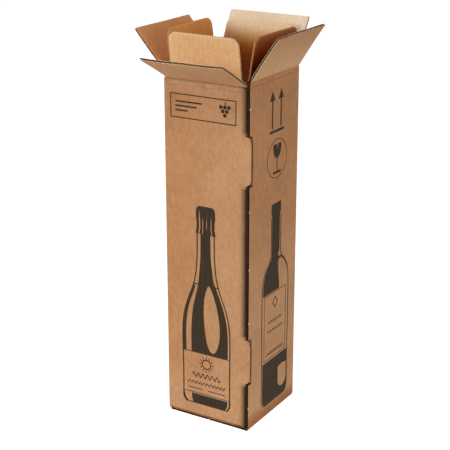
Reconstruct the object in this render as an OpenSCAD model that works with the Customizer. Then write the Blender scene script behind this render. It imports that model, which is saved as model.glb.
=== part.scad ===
// Shipping box for one bottle of wine.
// A folded corrugated carton with four square top flaps, and inside it a folded
// corrugated sleeve with four rounded top flaps. All eight flaps stand open.
// The front faces -Y, +Z is up, and the origin is the middle of the base.

/* [Carton] */
// outside width of the square carton (mm)
box_w = 116; // [100:1:150]
// height of the folds of the side and back flaps (mm)
box_h = 429; // [330:1:520]
// how much lower the front flap folds (mm)
front_drop = 6; // [2:0.5:10]
// inside radius of the folds between the walls (mm)
fold_in_r = 1; // [0.5:0.25:3]
// slit between the two outer bottom flaps (mm)
bottom_slit = 1; // [0.5:0.5:4]
// space between the two layers of bottom flaps (mm)
layer_gap = 0.3; // [0.2:0.1:1]

/* [Board] */
// thickness of the corrugated board (mm)
board_t = 3; // [2.4:0.1:4]
// thickness of each liner and of the fluted paper (mm)
paper_t = 0.4; // [0.25:0.05:0.5]
// distance from flute to flute (mm)
flute_pitch = 6.5; // [4:0.1:8]
// board left between the crushed sides of a crease (mm)
crease_web = 1.2; // [0.8:0.1:1.6]
// height over which the board is crushed beside a crease (mm)
crease_h = 4.5; // [3.5:0.5:6]
// distance of the score line below a flap's fold (mm)
score_drop = 6.5; // [5.5:0.5:10]
// depth of the score line (mm)
score_d = 0.5; // [0.2:0.1:0.7]

/* [Corner seam] */
// inside radius of the rolled fold at the front right corner (mm)
roll_in_r = 3; // [1:0.5:6]
// width of the glue flap behind the right wall (mm)
glue_w = 28; // [15:1:35]
// height of each locking tab (mm)
tab_h = 58; // [30:1:80]
// distance of each tab's middle from its end of the carton (mm)
tab_mid = 91; // [70:1:110]
// how far the tabs stand past the right wall (mm)
tab_reach = 1.5; // [0:0.25:3]
// radius of the tabs' free corners (mm)
tab_r = 9; // [4:0.5:12]
// depth of the notches in the right wall (mm)
notch_d = 6.7; // [5:0.1:10]
// space round a tab in its notch (mm)
notch_clear = 0.8; // [0.4:0.1:2]

/* [Carton flaps] */
// length of the four square flaps (mm)
flap_l = 59; // [40:0.5:75]
// how much a side flap is narrower than its wall, each side (mm)
side_inset = 2.4; // [1:0.1:8]
// how much a front or back flap is narrower than its wall, each side (mm)
front_inset = 4.9; // [3:0.1:10]
// opening angle of the front flap, from upright (deg)
front_open = 60.5; // [30:0.5:150]
// opening angle of the left flap (deg)
left_open = 42.5; // [20:0.5:150]
// opening angle of the back flap (deg)
back_open = 30.5; // [29:0.5:150]
// opening angle of the right flap (deg)
right_open = 33; // [20:0.5:150]

/* [Sleeve] */
// space between the sleeve and the carton (mm)
sleeve_gap = 1; // [0.5:0.1:2]
// how much lower the rounded flaps fold than the square ones (mm)
inner_drop = 3; // [2:0.5:8]
// length of the left, right and back rounded flaps (mm)
inner_l = 51; // [35:0.5:60]
// radius of their corners (mm)
inner_r = 10; // [4:0.5:20]
// opening angle of the front rounded flap, from upright (deg)
front_inner_open = 8.5; // [0:0.5:15]
// opening angle of the left rounded flap (deg)
left_inner_open = 7; // [0:0.5:15]
// opening angle of the back rounded flap (deg)
back_inner_open = 18.5; // [0:0.5:19]
// opening angle of the right rounded flap (deg)
right_inner_open = 9.5; // [0:0.5:15]

/* [Hidden] */
$fn = 48;
over = 1;
t = board_t;
half = box_w / 2;
inside = half - t;
fold_r = fold_in_r + t;
roll_r = roll_in_r + t;
front_h = box_h - front_drop;

// the hinge lines lie this far off the board's face
hinge_off = 0.15;
// space between a flap and its wall at the crease
hinge_gap = 0.3;
// space between two neighbouring rounded flaps folded right down
flap_clear = 0.3;
// how much further out a rounded flap can lean (deg)
lean_more = 2.5;

// flutes start above the crushed board, and a cut along a flute leaves a groove
crush_end = 2;
flute_z = crease_h + crush_end;
groove_d = 1.4;
flute_top = t - paper_t;
flute_amp = (t - 3 * paper_t) / 2;
flute_half = flute_pitch * 0.37;
flute_steps = 5;

// carton bottom: the side flaps lie outside, the front and back ones on them
// and the slit between the side flaps lies just right of the middle
bottom_l = half - bottom_slit / 2;
slit_x = bottom_slit;
bottom_z = t + layer_gap;
bottom_back = 1;
bottom_edge = half - bottom_back;
floor_z = bottom_z + t;
slot_drop = 2;

// seam: the rolled fold ends just inside the right wall
glue_gap = 0.2;
glue_x = inside - glue_gap;
roll_x = glue_x - roll_r;
tab_cut = 0.4;
raw_back = 0.1;
raw_y = -half + raw_back;
glue_end = 12;
glue_y = -half + roll_r;
tab_window = tab_reach + half - roll_x - roll_r;
tab_mids = [tab_mid, box_h - tab_mid];
nick_w = 1.4;
nick_d = 0.7;
nick_t = 0.5;
nick_parts = [0.11, 0.47, 0.845];
// one nick below and one above the notches, and three between them
nick_end = (tab_mid - tab_h / 2 - notch_clear) / 2;
nick_start = tab_mid + tab_h / 2 + notch_clear;
nick_span = box_h - 2 * nick_start;
nick_mids = concat([nick_end, box_h - nick_end], [for (part = nick_parts) nick_start + part * nick_span]);

// sleeve: it stands clear of the glue flap, so it is a board narrower from left to right
sleeve_y = inside - sleeve_gap;
sleeve_x0 = -sleeve_y;
sleeve_x1 = sleeve_y - t - glue_gap;
sleeve_mid = (sleeve_x0 + sleeve_x1) / 2;
sleeve_wx = sleeve_x1 - sleeve_x0;
sleeve_wy = 2 * sleeve_y;
sleeve_side_h = box_h - inner_drop;
sleeve_front_h = front_h - inner_drop;
inner_margin = 2 * t + 2 * hinge_off + flap_clear;
inner_wx = sleeve_wx - 2 * inner_margin;
inner_wy = sleeve_wy - 2 * inner_margin;
front_inner_l = inner_l + front_drop;

carton_col = "#C49A6C";
flap_col = "#BC9062";
sleeve_col = "#D2A473";

// a quarter of a folded board seen along the fold, in the +X +Y quarter
module quarter_fold(r_in) {
    intersection() {
        difference() {
            circle(r = r_in + t);
            circle(r = r_in);
        }
        square(r_in + t);
    }
}

// a tongue from the Z line of the drawing, with its two far corners rounded
module tongue(len, wide, r) {
    translate([0, -wide / 2]) square([len - r, wide]);
    translate([len - r - over, -wide / 2 + r]) square([r + over, wide - 2 * r]);
    for (side = [-1, 1])
        translate([len - r, side * (wide / 2 - r)]) circle(r = r);
}

// the hollow of one flute between the waved paper and a liner, with its mouth up
module flute_section() {
    curve = [for (k = [0:flute_steps])
        let (x = -flute_half + 2 * flute_half * k / flute_steps)
        [x, t / 2 + paper_t / 2 - flute_amp * cos(360 * x / flute_pitch)]];
    polygon(concat([[flute_half, flute_top], [-flute_half, flute_top]], curve));
}

// all flutes of a flap that is w wide and l long
module flutes(w, l) {
    count = floor((w - 2 * (groove_d + paper_t + flute_half)) / flute_pitch);
    for (i = [0:count - 1])
        translate([(i - (count - 1) / 2) * flute_pitch, 0, flute_z])
            linear_extrude(l) flute_section();
    for (i = [0:count])
        translate([(i - count / 2) * flute_pitch, t, flute_z])
            mirror([0, 1, 0]) linear_extrude(l) flute_section();
}

// the groove between the liners where the board is cut along a flute
module edge_groove(l) {
    translate([-over, paper_t, 0]) cube([groove_d + over, t - 2 * paper_t, l]);
}

// a carton flap's side view, with its outer face on 0 and crushed inside
function outer_side(l) =
    [[0, hinge_gap], [crease_web, hinge_gap], [t, crease_h], [t, l], [0, l]];

// a sleeve flap's side view, crushed outside so that it can lean out by an angle
function inner_side(l, lean) =
    let (rise = (crease_web + hinge_off) * tan(lean))
    [[t, hinge_gap], [t - crease_web, hinge_gap + rise], [0, crease_h], [0, l], [t, l]];

// a flap standing on its fold: X along the fold, outer face on Y = 0
module flap_board(side, w, l, r) {
    difference() {
        translate([-w / 2, 0, 0]) rotate([90, 0, 90]) linear_extrude(w) polygon(side);
        flutes(w, l);
        for (m = [0, 1])
            mirror([m, 0, 0]) translate([-w / 2, 0, flute_z])
                edge_groove(l - flute_z - r + over * (r > 0 ? 0 : 1));
        if (r > 0)
            for (m = [0, 1])
                mirror([m, 0, 0]) translate([w / 2 - r, -over, l - r]) corner_waste(r);
    }
}

// what is cut off a square corner to round it
module corner_waste(r) {
    translate([0, t + 2 * over, 0]) rotate([90, 0, 0]) linear_extrude(t + 2 * over)
        difference() {
            square(r + over);
            circle(r = r);
        }
}

// turns a carton flap outwards about its hinge line
module open_outer(angle) {
    translate([0, -hinge_off, 0]) rotate([angle, 0, 0]) translate([0, hinge_off, 0]) children();
}

// turns a sleeve flap outwards about its hinge line
module open_inner(angle) {
    translate([0, t + hinge_off, 0]) rotate([angle, 0, 0]) translate([0, -t - hinge_off, 0]) children();
}

// a carton wall with its bottom fold, drawn as the front wall between x0 and x1
module carton_wall(x0, x1, z0, z1) {
    translate([x0, -half, 0]) rotate([90, 0, 90]) linear_extrude(x1 - x0) {
        polygon([[0, z0 + fold_r], [t, z0 + fold_r], [t, z1 - crease_h], [crease_web, z1], [0, z1],
            [0, z1 - score_drop + score_d], [score_d, z1 - score_drop], [0, z1 - score_drop - score_d]]);
        translate([fold_r, z0 + fold_r]) rotate(180) quarter_fold(fold_in_r);
    }
}

// a bottom flap of the front wall
module bottom_flap(w, len, z0) {
    translate([-w / 2, -half + fold_r, z0]) cube([w, len - fold_r, t]);
}

// a side bottom flap: its cut edges show the board's hollow
module side_bottom_flap(len) {
    difference() {
        bottom_flap(2 * bottom_edge, len, 0);
        for (m = [0, 1])
            mirror([m, 0, 0]) translate([-bottom_edge - over, -half + fold_r + over, paper_t])
                cube([groove_d + over, len, t - 2 * paper_t]);
    }
}

// the right wall: raw edge at the seam, notches for the tabs, and nicks left by the die
module right_wall() {
    difference() {
        rotate([0, 0, 90]) carton_wall(raw_y, half - fold_r, 0, box_h);
        translate([inside + paper_t, raw_y - over, fold_r + over])
            cube([t - 2 * paper_t, groove_d + over, box_h - fold_r - over - flute_z]);
        for (z = tab_mids)
            translate([inside - over, -half - over, z - tab_h / 2 - notch_clear])
                cube([t + 2 * over, notch_d + over, tab_h + 2 * notch_clear]);
    }
    for (z = nick_mids)
        translate([half - nick_t, raw_y - nick_d, z - nick_w / 2])
            cube([nick_t, nick_d + over / 2, nick_w]);
}

// the rolled fold and the glue flap, open where the tabs were cut out of them
module seam_roll() {
    difference() {
        union() {
            translate([roll_x, -half + roll_r, bottom_z]) linear_extrude(front_h - slot_drop - bottom_z)
                rotate(-90) quarter_fold(roll_in_r);
            translate([glue_x - t, glue_y, glue_end]) cube([t, glue_w, front_h - 2 * glue_end]);
        }
        for (z = tab_mids)
            translate([roll_x, -half - over, z - tab_h / 2 - tab_cut])
                cube([roll_r + over, roll_r + tab_window + over, tab_h + 2 * tab_cut]);
    }
}

// the locking tabs, in the plane of the front wall
module seam_tabs() {
    for (z = tab_mids)
        translate([roll_x - over, -half + t, z]) rotate([90, 0, 0]) linear_extrude(t)
            tongue(half + tab_reach - roll_x + over, tab_h, tab_r);
}

// the upright folds between the walls
module wall_folds() {
    corner = half - fold_r;
    translate([-corner, -corner, bottom_z]) linear_extrude(front_h - slot_drop - bottom_z)
        rotate(180) quarter_fold(fold_in_r);
    translate([-corner, corner, bottom_z]) linear_extrude(box_h - slot_drop - bottom_z)
        rotate(90) quarter_fold(fold_in_r);
    translate([corner, corner, bottom_z]) linear_extrude(box_h - slot_drop - bottom_z)
        quarter_fold(fold_in_r);
}

module outer_carton() {
    color(carton_col) {
        carton_wall(-half + fold_r, roll_x, bottom_z, front_h);
        rotate([0, 0, 180]) carton_wall(-half + fold_r, half - fold_r, bottom_z, box_h);
        rotate([0, 0, 270]) carton_wall(-half + fold_r, half - fold_r, 0, box_h);
        right_wall();
        wall_folds();
        seam_roll();
        seam_tabs();
        for (turn = [0, 180])
            rotate([0, 0, turn]) bottom_flap(2 * roll_x, bottom_l, bottom_z);
        rotate([0, 0, 90]) side_bottom_flap(bottom_l - slit_x);
        rotate([0, 0, 270]) side_bottom_flap(bottom_l + slit_x);
    }
}

// a sleeve wall on the floor, outer face on Y = 0
module sleeve_wall(w, h) {
    translate([-w / 2, 0, 0]) rotate([90, 0, 90]) linear_extrude(w)
        polygon([[0, floor_z], [t, floor_z], [t, h], [t - crease_web, h], [0, h - crease_h]]);
}

// an upright fold of the sleeve
module sleeve_fold(turn, h) {
    translate([0, 0, floor_z]) linear_extrude(h - slot_drop - floor_z)
        rotate(turn) quarter_fold(fold_in_r);
}

module inner_sleeve() {
    color(sleeve_col) {
        translate([sleeve_mid, -sleeve_y, 0]) sleeve_wall(sleeve_wx - 2 * fold_r, sleeve_front_h);
        translate([sleeve_mid, sleeve_y, 0]) rotate([0, 0, 180])
            sleeve_wall(sleeve_wx - 2 * fold_r, sleeve_side_h);
        translate([sleeve_x0, 0, 0]) rotate([0, 0, 270]) sleeve_wall(sleeve_wy - 2 * fold_r, sleeve_side_h);
        translate([sleeve_x1, 0, 0]) rotate([0, 0, 90]) sleeve_wall(sleeve_wy - 2 * fold_r, sleeve_side_h);
        translate([sleeve_x0 + fold_r, -sleeve_y + fold_r, 0]) sleeve_fold(180, sleeve_front_h);
        translate([sleeve_x1 - fold_r, -sleeve_y + fold_r, 0]) sleeve_fold(270, sleeve_front_h);
        translate([sleeve_x0 + fold_r, sleeve_y - fold_r, 0]) sleeve_fold(90, sleeve_side_h);
        translate([sleeve_x1 - fold_r, sleeve_y - fold_r, 0]) sleeve_fold(0, sleeve_side_h);
    }
}

module front_flap() {
    color(flap_col) translate([0, -half, front_h]) open_outer(front_open)
        flap_board(outer_side(flap_l), box_w - 2 * front_inset, flap_l, 0);
}

module left_flap() {
    color(flap_col) translate([-half, 0, box_h]) rotate([0, 0, 270]) open_outer(left_open)
        flap_board(outer_side(flap_l), box_w - 2 * side_inset, flap_l, 0);
}

module back_flap() {
    color(flap_col) translate([0, half, box_h]) rotate([0, 0, 180]) open_outer(back_open)
        flap_board(outer_side(flap_l), box_w - 2 * front_inset, flap_l, 0);
}

module right_flap() {
    color(flap_col) translate([half, 0, box_h]) rotate([0, 0, 90]) open_outer(right_open)
        flap_board(outer_side(flap_l), box_w - 2 * side_inset, flap_l, 0);
}

module front_inner_flap() {
    color(sleeve_col) translate([sleeve_mid, -sleeve_y, sleeve_front_h]) open_inner(front_inner_open)
        flap_board(inner_side(front_inner_l, front_inner_open + lean_more), inner_wx, front_inner_l, inner_r);
}

module left_inner_flap() {
    color(sleeve_col) translate([sleeve_x0, 0, sleeve_side_h]) rotate([0, 0, 270]) open_inner(left_inner_open)
        flap_board(inner_side(inner_l, left_inner_open + lean_more), inner_wy, inner_l, inner_r);
}

module back_inner_flap() {
    color(sleeve_col) translate([sleeve_mid, sleeve_y, sleeve_side_h]) rotate([0, 0, 180]) open_inner(back_inner_open)
        flap_board(inner_side(inner_l, back_inner_open + lean_more), inner_wx, inner_l, inner_r);
}

module right_inner_flap() {
    color(sleeve_col) translate([sleeve_x1, 0, sleeve_side_h]) rotate([0, 0, 90]) open_inner(right_inner_open)
        flap_board(inner_side(inner_l, right_inner_open + lean_more), inner_wy, inner_l, inner_r);
}

outer_carton();
inner_sleeve();
front_flap();
left_flap();
back_flap();
right_flap();
front_inner_flap();
left_inner_flap();
back_inner_flap();
right_inner_flap();
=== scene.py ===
"""Dresses the shipping box for one bottle of wine: kraft board, waved cut edges, creases and ink prints.

Sizes in the classes are millimetres in the part's own frame: the front faces -Y, +Z is up and the
origin is the middle of the base. Meshes are written in metres. HALF is half the carton's width, the two
folds are the heights of its top edges, and PITCH is the distance from flute to flute. NOISE_SPAN is the
part of a noise's range that the tones are spread over.
"""
import logging
import math
from dataclasses import dataclass, field
from enum import Enum
from typing import Sequence, Union

import bpy
import numpy as np
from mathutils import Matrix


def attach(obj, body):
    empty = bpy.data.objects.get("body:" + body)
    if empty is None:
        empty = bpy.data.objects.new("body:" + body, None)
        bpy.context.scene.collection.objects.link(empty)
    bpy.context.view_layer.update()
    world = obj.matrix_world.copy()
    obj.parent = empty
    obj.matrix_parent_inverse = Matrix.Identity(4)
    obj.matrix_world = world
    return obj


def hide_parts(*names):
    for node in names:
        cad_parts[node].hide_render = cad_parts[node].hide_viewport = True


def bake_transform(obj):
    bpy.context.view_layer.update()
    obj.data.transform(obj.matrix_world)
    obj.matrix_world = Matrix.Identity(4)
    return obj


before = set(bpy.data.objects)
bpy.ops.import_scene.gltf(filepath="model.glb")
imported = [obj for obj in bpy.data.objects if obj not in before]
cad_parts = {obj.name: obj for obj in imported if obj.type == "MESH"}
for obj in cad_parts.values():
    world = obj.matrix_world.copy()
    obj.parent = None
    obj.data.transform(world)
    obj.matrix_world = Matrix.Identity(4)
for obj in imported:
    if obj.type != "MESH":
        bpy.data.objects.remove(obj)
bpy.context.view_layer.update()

Array = np.ndarray
Colour = tuple[float, float, float]
Value = Union[float, Sequence[float], bpy.types.NodeSocket]

MM = 0.001
SHARP_DEG = 40.0
BOARD_MAP = "board"
HALF = 58.0
SIDE_FOLD = 429.0
FRONT_FOLD = 423.0
PITCH = 6.5
NOISE_SPAN = (0.3, 0.7)
log = logging.getLogger("wine_box")


class PatternPlace(Enum):
    """What a finish's pattern is laid out on."""

    WALLS = "Object"
    BOARD = "UV"


class FoldSide(Enum):
    """The face of the board on which a flap's fold line lies."""

    OUTER = 1
    INNER = -1


class LinerShade(Enum):
    """The painted light and shade of a flap's inner liner: lit and shaded copies of one paper, one for each
    flap's light.
    """

    PALE = "pale_lit_liner"
    CREAM = "cream_lit_liner"
    WARM = "warm_shaded_liner"
    DEEP = "deep_shaded_liner"
    DARK = "dark_shaded_liner"


class FlapSkin(Enum):
    """The outside of a flap's board, with painted light and shade on all but the carton's own.

    The shaded copy darkens towards its tip. The sleeve's lit copy is paler, and its gap copy is darker and
    deepens towards the fold, for the gaps between the inner and outer flaps.
    """

    CARTON = "flap_outside_kraft"
    SHADED = "flap_shaded_kraft"
    SLEEVE = "sleeve_lit_outside_kraft"
    GAP = "sleeve_gap_shade_kraft"


def spline(knots: Sequence[tuple[float, float]], at: Array) -> Array:
    """Gives a natural cubic through the knots: second derivatives solve a tridiagonal system.

    Args:
        knots: pairs of place and value, with rising places.
        at: places to read the curve at.

    Returns:
        The curve's values at those places.
    """
    x, y = np.array(knots, dtype=float).T
    h = np.diff(x)
    slope = np.diff(y) / h
    system = np.eye(len(x))
    rows = np.arange(1, len(x) - 1)
    system[rows, rows - 1] = h[:-1]
    system[rows, rows] = 2 * (h[:-1] + h[1:])
    system[rows, rows + 1] = h[1:]
    right = np.zeros(len(x))
    right[1:-1] = 6 * np.diff(slope)
    bend = np.linalg.solve(system, right)
    k = np.clip(np.searchsorted(x, at) - 1, 0, len(x) - 2)
    a, b = x[k + 1] - at, at - x[k]
    return ((bend[k] * a**3 + bend[k + 1] * b**3) / (6 * h[k])
            + (y[k] / h[k] - bend[k] * h[k] / 6) * a + (y[k + 1] / h[k] - bend[k + 1] * h[k] / 6) * b)


def ease(x: Array) -> Array:
    """Gives the smooth step 3s^2 - 2s^3 of x held between 0 and 1."""
    s = np.clip(x, 0.0, 1.0)
    return s * s * (3 - 2 * s)


@dataclass
class MeshParts:
    """Collects sheets with thickness as arrays, and makes one mesh of them."""

    points: list[Array] = field(default_factory=list)
    quads: list[Array] = field(default_factory=list)
    coords: list[Array] = field(default_factory=list)
    finishes: list[Array] = field(default_factory=list)
    total: int = 0

    def sheet(self, face: Array, back: Array, coords: Array, finishes: tuple[int, int, int],
              ring: bool = False) -> None:
        """Adds a closed sheet: two (n, m) grids of points, joined round their rim by quads.

        Args:
            face: points (n, m, 3) of one side, in mm.
            back: points (n, m, 3) of the other side.
            coords: place of each point in the finish's pattern (n, m, 2), in mm.
            finishes: finish numbers of the face, the back and the rim.
            ring: True where the last row lies on the first one.
        """
        if ring:
            face, back, coords = face[:-1], back[:-1], coords[:-1]
        n, m = face.shape[:2]
        size = n * m
        cell = np.arange(size).reshape(n, m)
        rows = np.vstack([cell, cell[:1]]) if ring else cell
        top = np.stack([rows[:-1, :-1], rows[1:, :-1], rows[1:, 1:], rows[:-1, 1:]], -1).reshape(-1, 4)
        if ring:
            edge = np.stack([np.r_[rows[1:, 0], rows[:-1, -1]], np.r_[rows[:-1, 0], rows[1:, -1]]], -1)
        else:
            loop = np.r_[cell[:-1, 0], cell[-1, :-1], cell[:0:-1, -1], cell[0, :0:-1]]
            edge = np.stack([np.roll(loop, -1), loop], -1)
        rim = np.concatenate([edge, edge[:, ::-1] + size], axis=1)
        quads = np.concatenate([top, top[:, ::-1] + size, rim])
        across = np.cross(face[1:, :-1] - face[:-1, :-1], face[:-1, 1:] - face[:-1, :-1])
        if float((across * (face - back)[:-1, :-1]).sum()) < 0:
            quads = quads[:, ::-1]
        self.points += [face.reshape(-1, 3), back.reshape(-1, 3)]
        self.coords += [coords.reshape(-1, 2)] * 2
        self.quads.append(quads + self.total)
        self.finishes.append(np.repeat(finishes, [len(top), len(top), len(rim)]))
        self.total += 2 * size

    def build(self, name: str, materials: Sequence[bpy.types.Material]) -> bpy.types.Object:
        """Makes the object, with the coords as its map of the board.

        Args:
            name: the piece's name.
            materials: the finishes in their numbers' order.

        Returns:
            The new object, at the origin.
        """
        points = np.concatenate(self.points) * MM
        quads = np.concatenate(self.quads).astype(np.int32)
        coords = np.concatenate(self.coords) * MM
        mesh = bpy.data.meshes.new(name)
        mesh.vertices.add(len(points))
        mesh.vertices.foreach_set("co", points.ravel().astype(np.float32))
        mesh.loops.add(quads.size)
        mesh.loops.foreach_set("vertex_index", quads.ravel())
        mesh.polygons.add(len(quads))
        mesh.polygons.foreach_set("loop_start", np.arange(0, quads.size, 4, dtype=np.int32))
        for material in materials:
            mesh.materials.append(material)
        mesh.polygons.foreach_set("material_index", np.concatenate(self.finishes).astype(np.int32))
        mesh.update(calc_edges=True)
        layer = mesh.uv_layers.new(name=BOARD_MAP)
        layer.data.foreach_set("uv", coords[quads.ravel()].ravel().astype(np.float32))
        mesh.validate()
        mesh.shade_smooth()
        mesh.set_sharp_from_angle(angle=math.radians(SHARP_DEG))
        piece = bpy.data.objects.new(name, mesh)
        bpy.context.scene.collection.objects.link(piece)
        log.info("%s: %d faces", name, len(quads))
        return piece


class NodeSheet:
    """Short ways to add and join the nodes of one material or world."""

    def __init__(self, tree: bpy.types.NodeTree) -> None:
        """Empties the tree and keeps it."""
        self.tree = tree
        tree.nodes.clear()

    def node(self, kind: str, inputs: dict[str, Value] | None = None, **settings: object) -> bpy.types.Node:
        """Adds a node.

        Args:
            kind: the node's type name, without the leading ShaderNode.
            inputs: values or sockets by input name or number.
            settings: the node's own properties.

        Returns:
            The new node.
        """
        made = self.tree.nodes.new("ShaderNode" + kind)
        for key, value in settings.items():
            setattr(made, key, value)
        for key, value in (inputs or {}).items():
            self.feed(made.inputs[key], value)
        return made

    def feed(self, socket: bpy.types.NodeSocket, value: Value) -> None:
        """Links a socket to the input, or sets its value.

        Args:
            socket: the input.
            value: a socket to link, or a value to set.
        """
        if isinstance(value, bpy.types.NodeSocket):
            self.tree.links.new(value, socket)
        else:
            socket.default_value = value

    def sums(self, operation: str, *values: Value) -> bpy.types.NodeSocket:
        """Adds a Math node.

        Args:
            operation: what the node does.
            values: up to three values or sockets.

        Returns:
            The result's socket.
        """
        made = self.node("Math", operation=operation)
        for socket, value in zip(made.inputs, values):
            self.feed(socket, value)
        return made.outputs[0]

    def ramp(self, value: Value, low: float, high: float, to: tuple[float, float] = (0.0, 1.0)
             ) -> bpy.types.NodeSocket:
        """Maps a value smoothly from low..high to the given span and returns the result."""
        span = {"Value": value, "From Min": low, "From Max": high, "To Min": to[0], "To Max": to[1]}
        return self.node("MapRange", span, interpolation_type="SMOOTHSTEP").outputs["Result"]

    def noise(self, vector: Value, scale: float, detail: float = 3.0, rough: float = 0.55
              ) -> bpy.types.NodeSocket:
        """Adds a noise texture and returns its value."""
        inputs = {"Vector": vector, "Scale": scale, "Detail": detail, "Roughness": rough}
        return self.node("TexNoise", inputs).outputs["Fac"]

    def stretch(self, vector: Value, scale: Sequence[float], turn: Sequence[float] = (0, 0, 0)
                ) -> bpy.types.NodeSocket:
        """Turns and stretches a pattern's coordinates and returns them."""
        made = self.node("Mapping", {"Vector": vector, "Scale": scale, "Rotation": turn})
        return made.outputs["Vector"]

    def mix(self, share: Value, a: Value, b: Value, way: str = "MIX") -> bpy.types.NodeSocket:
        """Mixes two colours.

        Args:
            share: 0 for the first colour, 1 for the second.
            a: the first colour.
            b: the second colour.
            way: the way of mixing.

        Returns:
            The mixed colour's socket.
        """
        made = self.node("Mix", data_type="RGBA", blend_type=way)
        self.feed(made.inputs["Factor"], share)
        self.feed(made.inputs[6], a if isinstance(a, bpy.types.NodeSocket) else (*a, 1.0))
        self.feed(made.inputs[7], b if isinstance(b, bpy.types.NodeSocket) else (*b, 1.0))
        return made.outputs[2]

    def scale_colour(self, colour: Value, factor: Value) -> bpy.types.NodeSocket:
        """Multiplies a colour by a number.

        Args:
            colour: the colour.
            factor: the number.

        Returns:
            The new colour's socket.
        """
        made = self.node("VectorMath", operation="SCALE")
        self.feed(made.inputs[0], colour)
        self.feed(made.inputs["Scale"], factor)
        return made.outputs[0]


def new_material(name: str) -> tuple[bpy.types.Material, NodeSheet]:
    """Makes an empty node material.

    Args:
        name: the material's name.

    Returns:
        The material and its node sheet.
    """
    material = bpy.data.materials.new(name)
    material.use_nodes = True
    return material, NodeSheet(material.node_tree)


@dataclass(frozen=True)
class KraftBoard:
    """Kraft paper over flutes: cloudy brown with grain, fibres, streaks, and faint stripes that are partly
    painted shade of the ripple over the flutes.

    Stripe, streak, grain and fibre are shares of the colour's level; a name ending in scale is a noise's
    scale, and the bump shares are those of the stripe, the streaks, the grain and the fibres.
    """

    name: str
    light: Colour
    deep: Colour
    place: PatternPlace
    stripe: float = 0.008
    streak: float = 0.12
    grain: float = 0.62
    fibre: float = 0.30
    cloud_scale: float = 16.0
    mottle_scale: float = 150.0
    cloud_share: float = 0.55
    mottle_share: float = 0.45
    streak_scale: float = 420.0
    streak_length: float = 0.05
    grain_scale: float = 390.0
    fibre_scales: tuple[float, float] = (2600.0, 2200.0)
    bump_shares: tuple[float, float, float, float] = (0.12, 0.6, 0.9, 0.5)
    bump_strength: float = 0.6
    relief: float = 0.07
    roughness: float = 0.82
    rough_spread: float = 0.06
    gloss: float = 0.12

    def material(self) -> bpy.types.Material:
        """Builds the node material.

        Colour runs from deep to light by a cloudy and a mottled noise, times one plus the stripe's sine
        over the flutes, the streaks along them, the upright grain and the fibres' noise. The same values
        raise the bump.

        Returns:
            The material.
        """
        made, sheet = new_material(self.name)
        vector, across = self.layout(sheet)
        cloud = sheet.noise(vector, self.cloud_scale, detail=3.0)
        mottle = sheet.noise(vector, self.mottle_scale, detail=5.0, rough=0.65)
        tone = sheet.sums("ADD", sheet.ramp(cloud, *NOISE_SPAN, (0.0, self.cloud_share)),
                          sheet.ramp(mottle, *NOISE_SPAN, (0.0, self.mottle_share)))
        colour = sheet.mix(tone, self.deep, self.light)
        # The sine over the flutes: in the colour, partly painted shade of the board's ripple; in the bump,
        # the ripple itself.
        wave = sheet.sums("SINE", sheet.sums("MULTIPLY", across, 2 * math.pi / (PITCH * MM)))
        along = sheet.sums("MULTIPLY", self.height(sheet, vector), self.streak_length)
        flat = sheet.node("CombineXYZ", {"X": across, "Z": along})
        streak = sheet.noise(flat.outputs[0], self.streak_scale, detail=2.0, rough=0.5)
        upright = sheet.stretch(vector, (1.0, 1.0, 0.42))
        grain = sheet.noise(upright, self.grain_scale, detail=4.0, rough=0.7)
        lying = sheet.stretch(vector, (0.22, 0.22, 1.0))
        long_fibre = sheet.noise(lying, self.fibre_scales[0], detail=2.0, rough=0.6)
        slanted = sheet.stretch(vector, (1.0, 1.0, 0.2), (0.0, 0.3, 0.3))
        cross_fibre = sheet.noise(slanted, self.fibre_scales[1], detail=2.0, rough=0.6)
        fibres = sheet.sums("MULTIPLY", sheet.sums("ADD", long_fibre, cross_fibre), 0.5)
        factor = sheet.sums("MULTIPLY_ADD", wave, self.stripe, 1.0)
        for value, share in ((streak, self.streak), (grain, self.grain), (fibres, self.fibre)):
            factor = sheet.sums("MULTIPLY_ADD", sheet.sums("SUBTRACT", value, 0.5), share, factor)
        colour = self.extras(sheet, sheet.scale_colour(colour, factor), vector)
        on_wave, on_streak, on_grain, on_fibre = self.bump_shares
        height = sheet.sums("MULTIPLY_ADD", wave, on_wave, sheet.sums("MULTIPLY", streak, on_streak))
        height = sheet.sums("MULTIPLY_ADD", fibres, on_fibre, height)
        height = sheet.sums("MULTIPLY_ADD", grain, on_grain, height)
        bump = sheet.node("Bump", {"Strength": self.bump_strength, "Distance": self.relief * MM,
                                   "Height": height})
        spread = self.rough_spread
        rough = sheet.ramp(mottle, 0.2, 0.8, (self.roughness - spread, self.roughness + spread))
        shader = sheet.node("BsdfPrincipled", {"Base Color": colour, "Roughness": rough,
                                               "Specular IOR Level": self.gloss, "Normal": bump.outputs[0]})
        sheet.node("OutputMaterial", {"Surface": shader.outputs[0]})
        return made

    def layout(self, sheet: NodeSheet) -> tuple[bpy.types.NodeSocket, bpy.types.NodeSocket]:
        """Gives the pattern's place and the distance across the flutes.

        Args:
            sheet: the material's nodes.

        Returns:
            The place as a vector, and the distance across the flutes in metres.
        """
        if self.place is PatternPlace.BOARD:
            on = sheet.node("SeparateXYZ", {0: sheet.node("UVMap", uv_map=BOARD_MAP).outputs[0]})
            vector = sheet.node("CombineXYZ", {"X": on.outputs[0], "Z": on.outputs[1]}).outputs[0]
            return vector, on.outputs[0]
        vector = sheet.node("TexCoord").outputs["Object"]
        on = sheet.node("SeparateXYZ", {0: vector})
        return vector, sheet.sums("ADD", on.outputs[0], on.outputs[1])

    def height(self, sheet: NodeSheet, vector: bpy.types.NodeSocket) -> bpy.types.NodeSocket:
        """Gives the distance along the flutes."""
        return sheet.node("SeparateXYZ", {0: vector}).outputs[2]

    def extras(self, sheet: NodeSheet, colour: bpy.types.NodeSocket, vector: bpy.types.NodeSocket
               ) -> bpy.types.NodeSocket:
        """Adds what only one board has; plain board has nothing."""
        return colour


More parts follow.
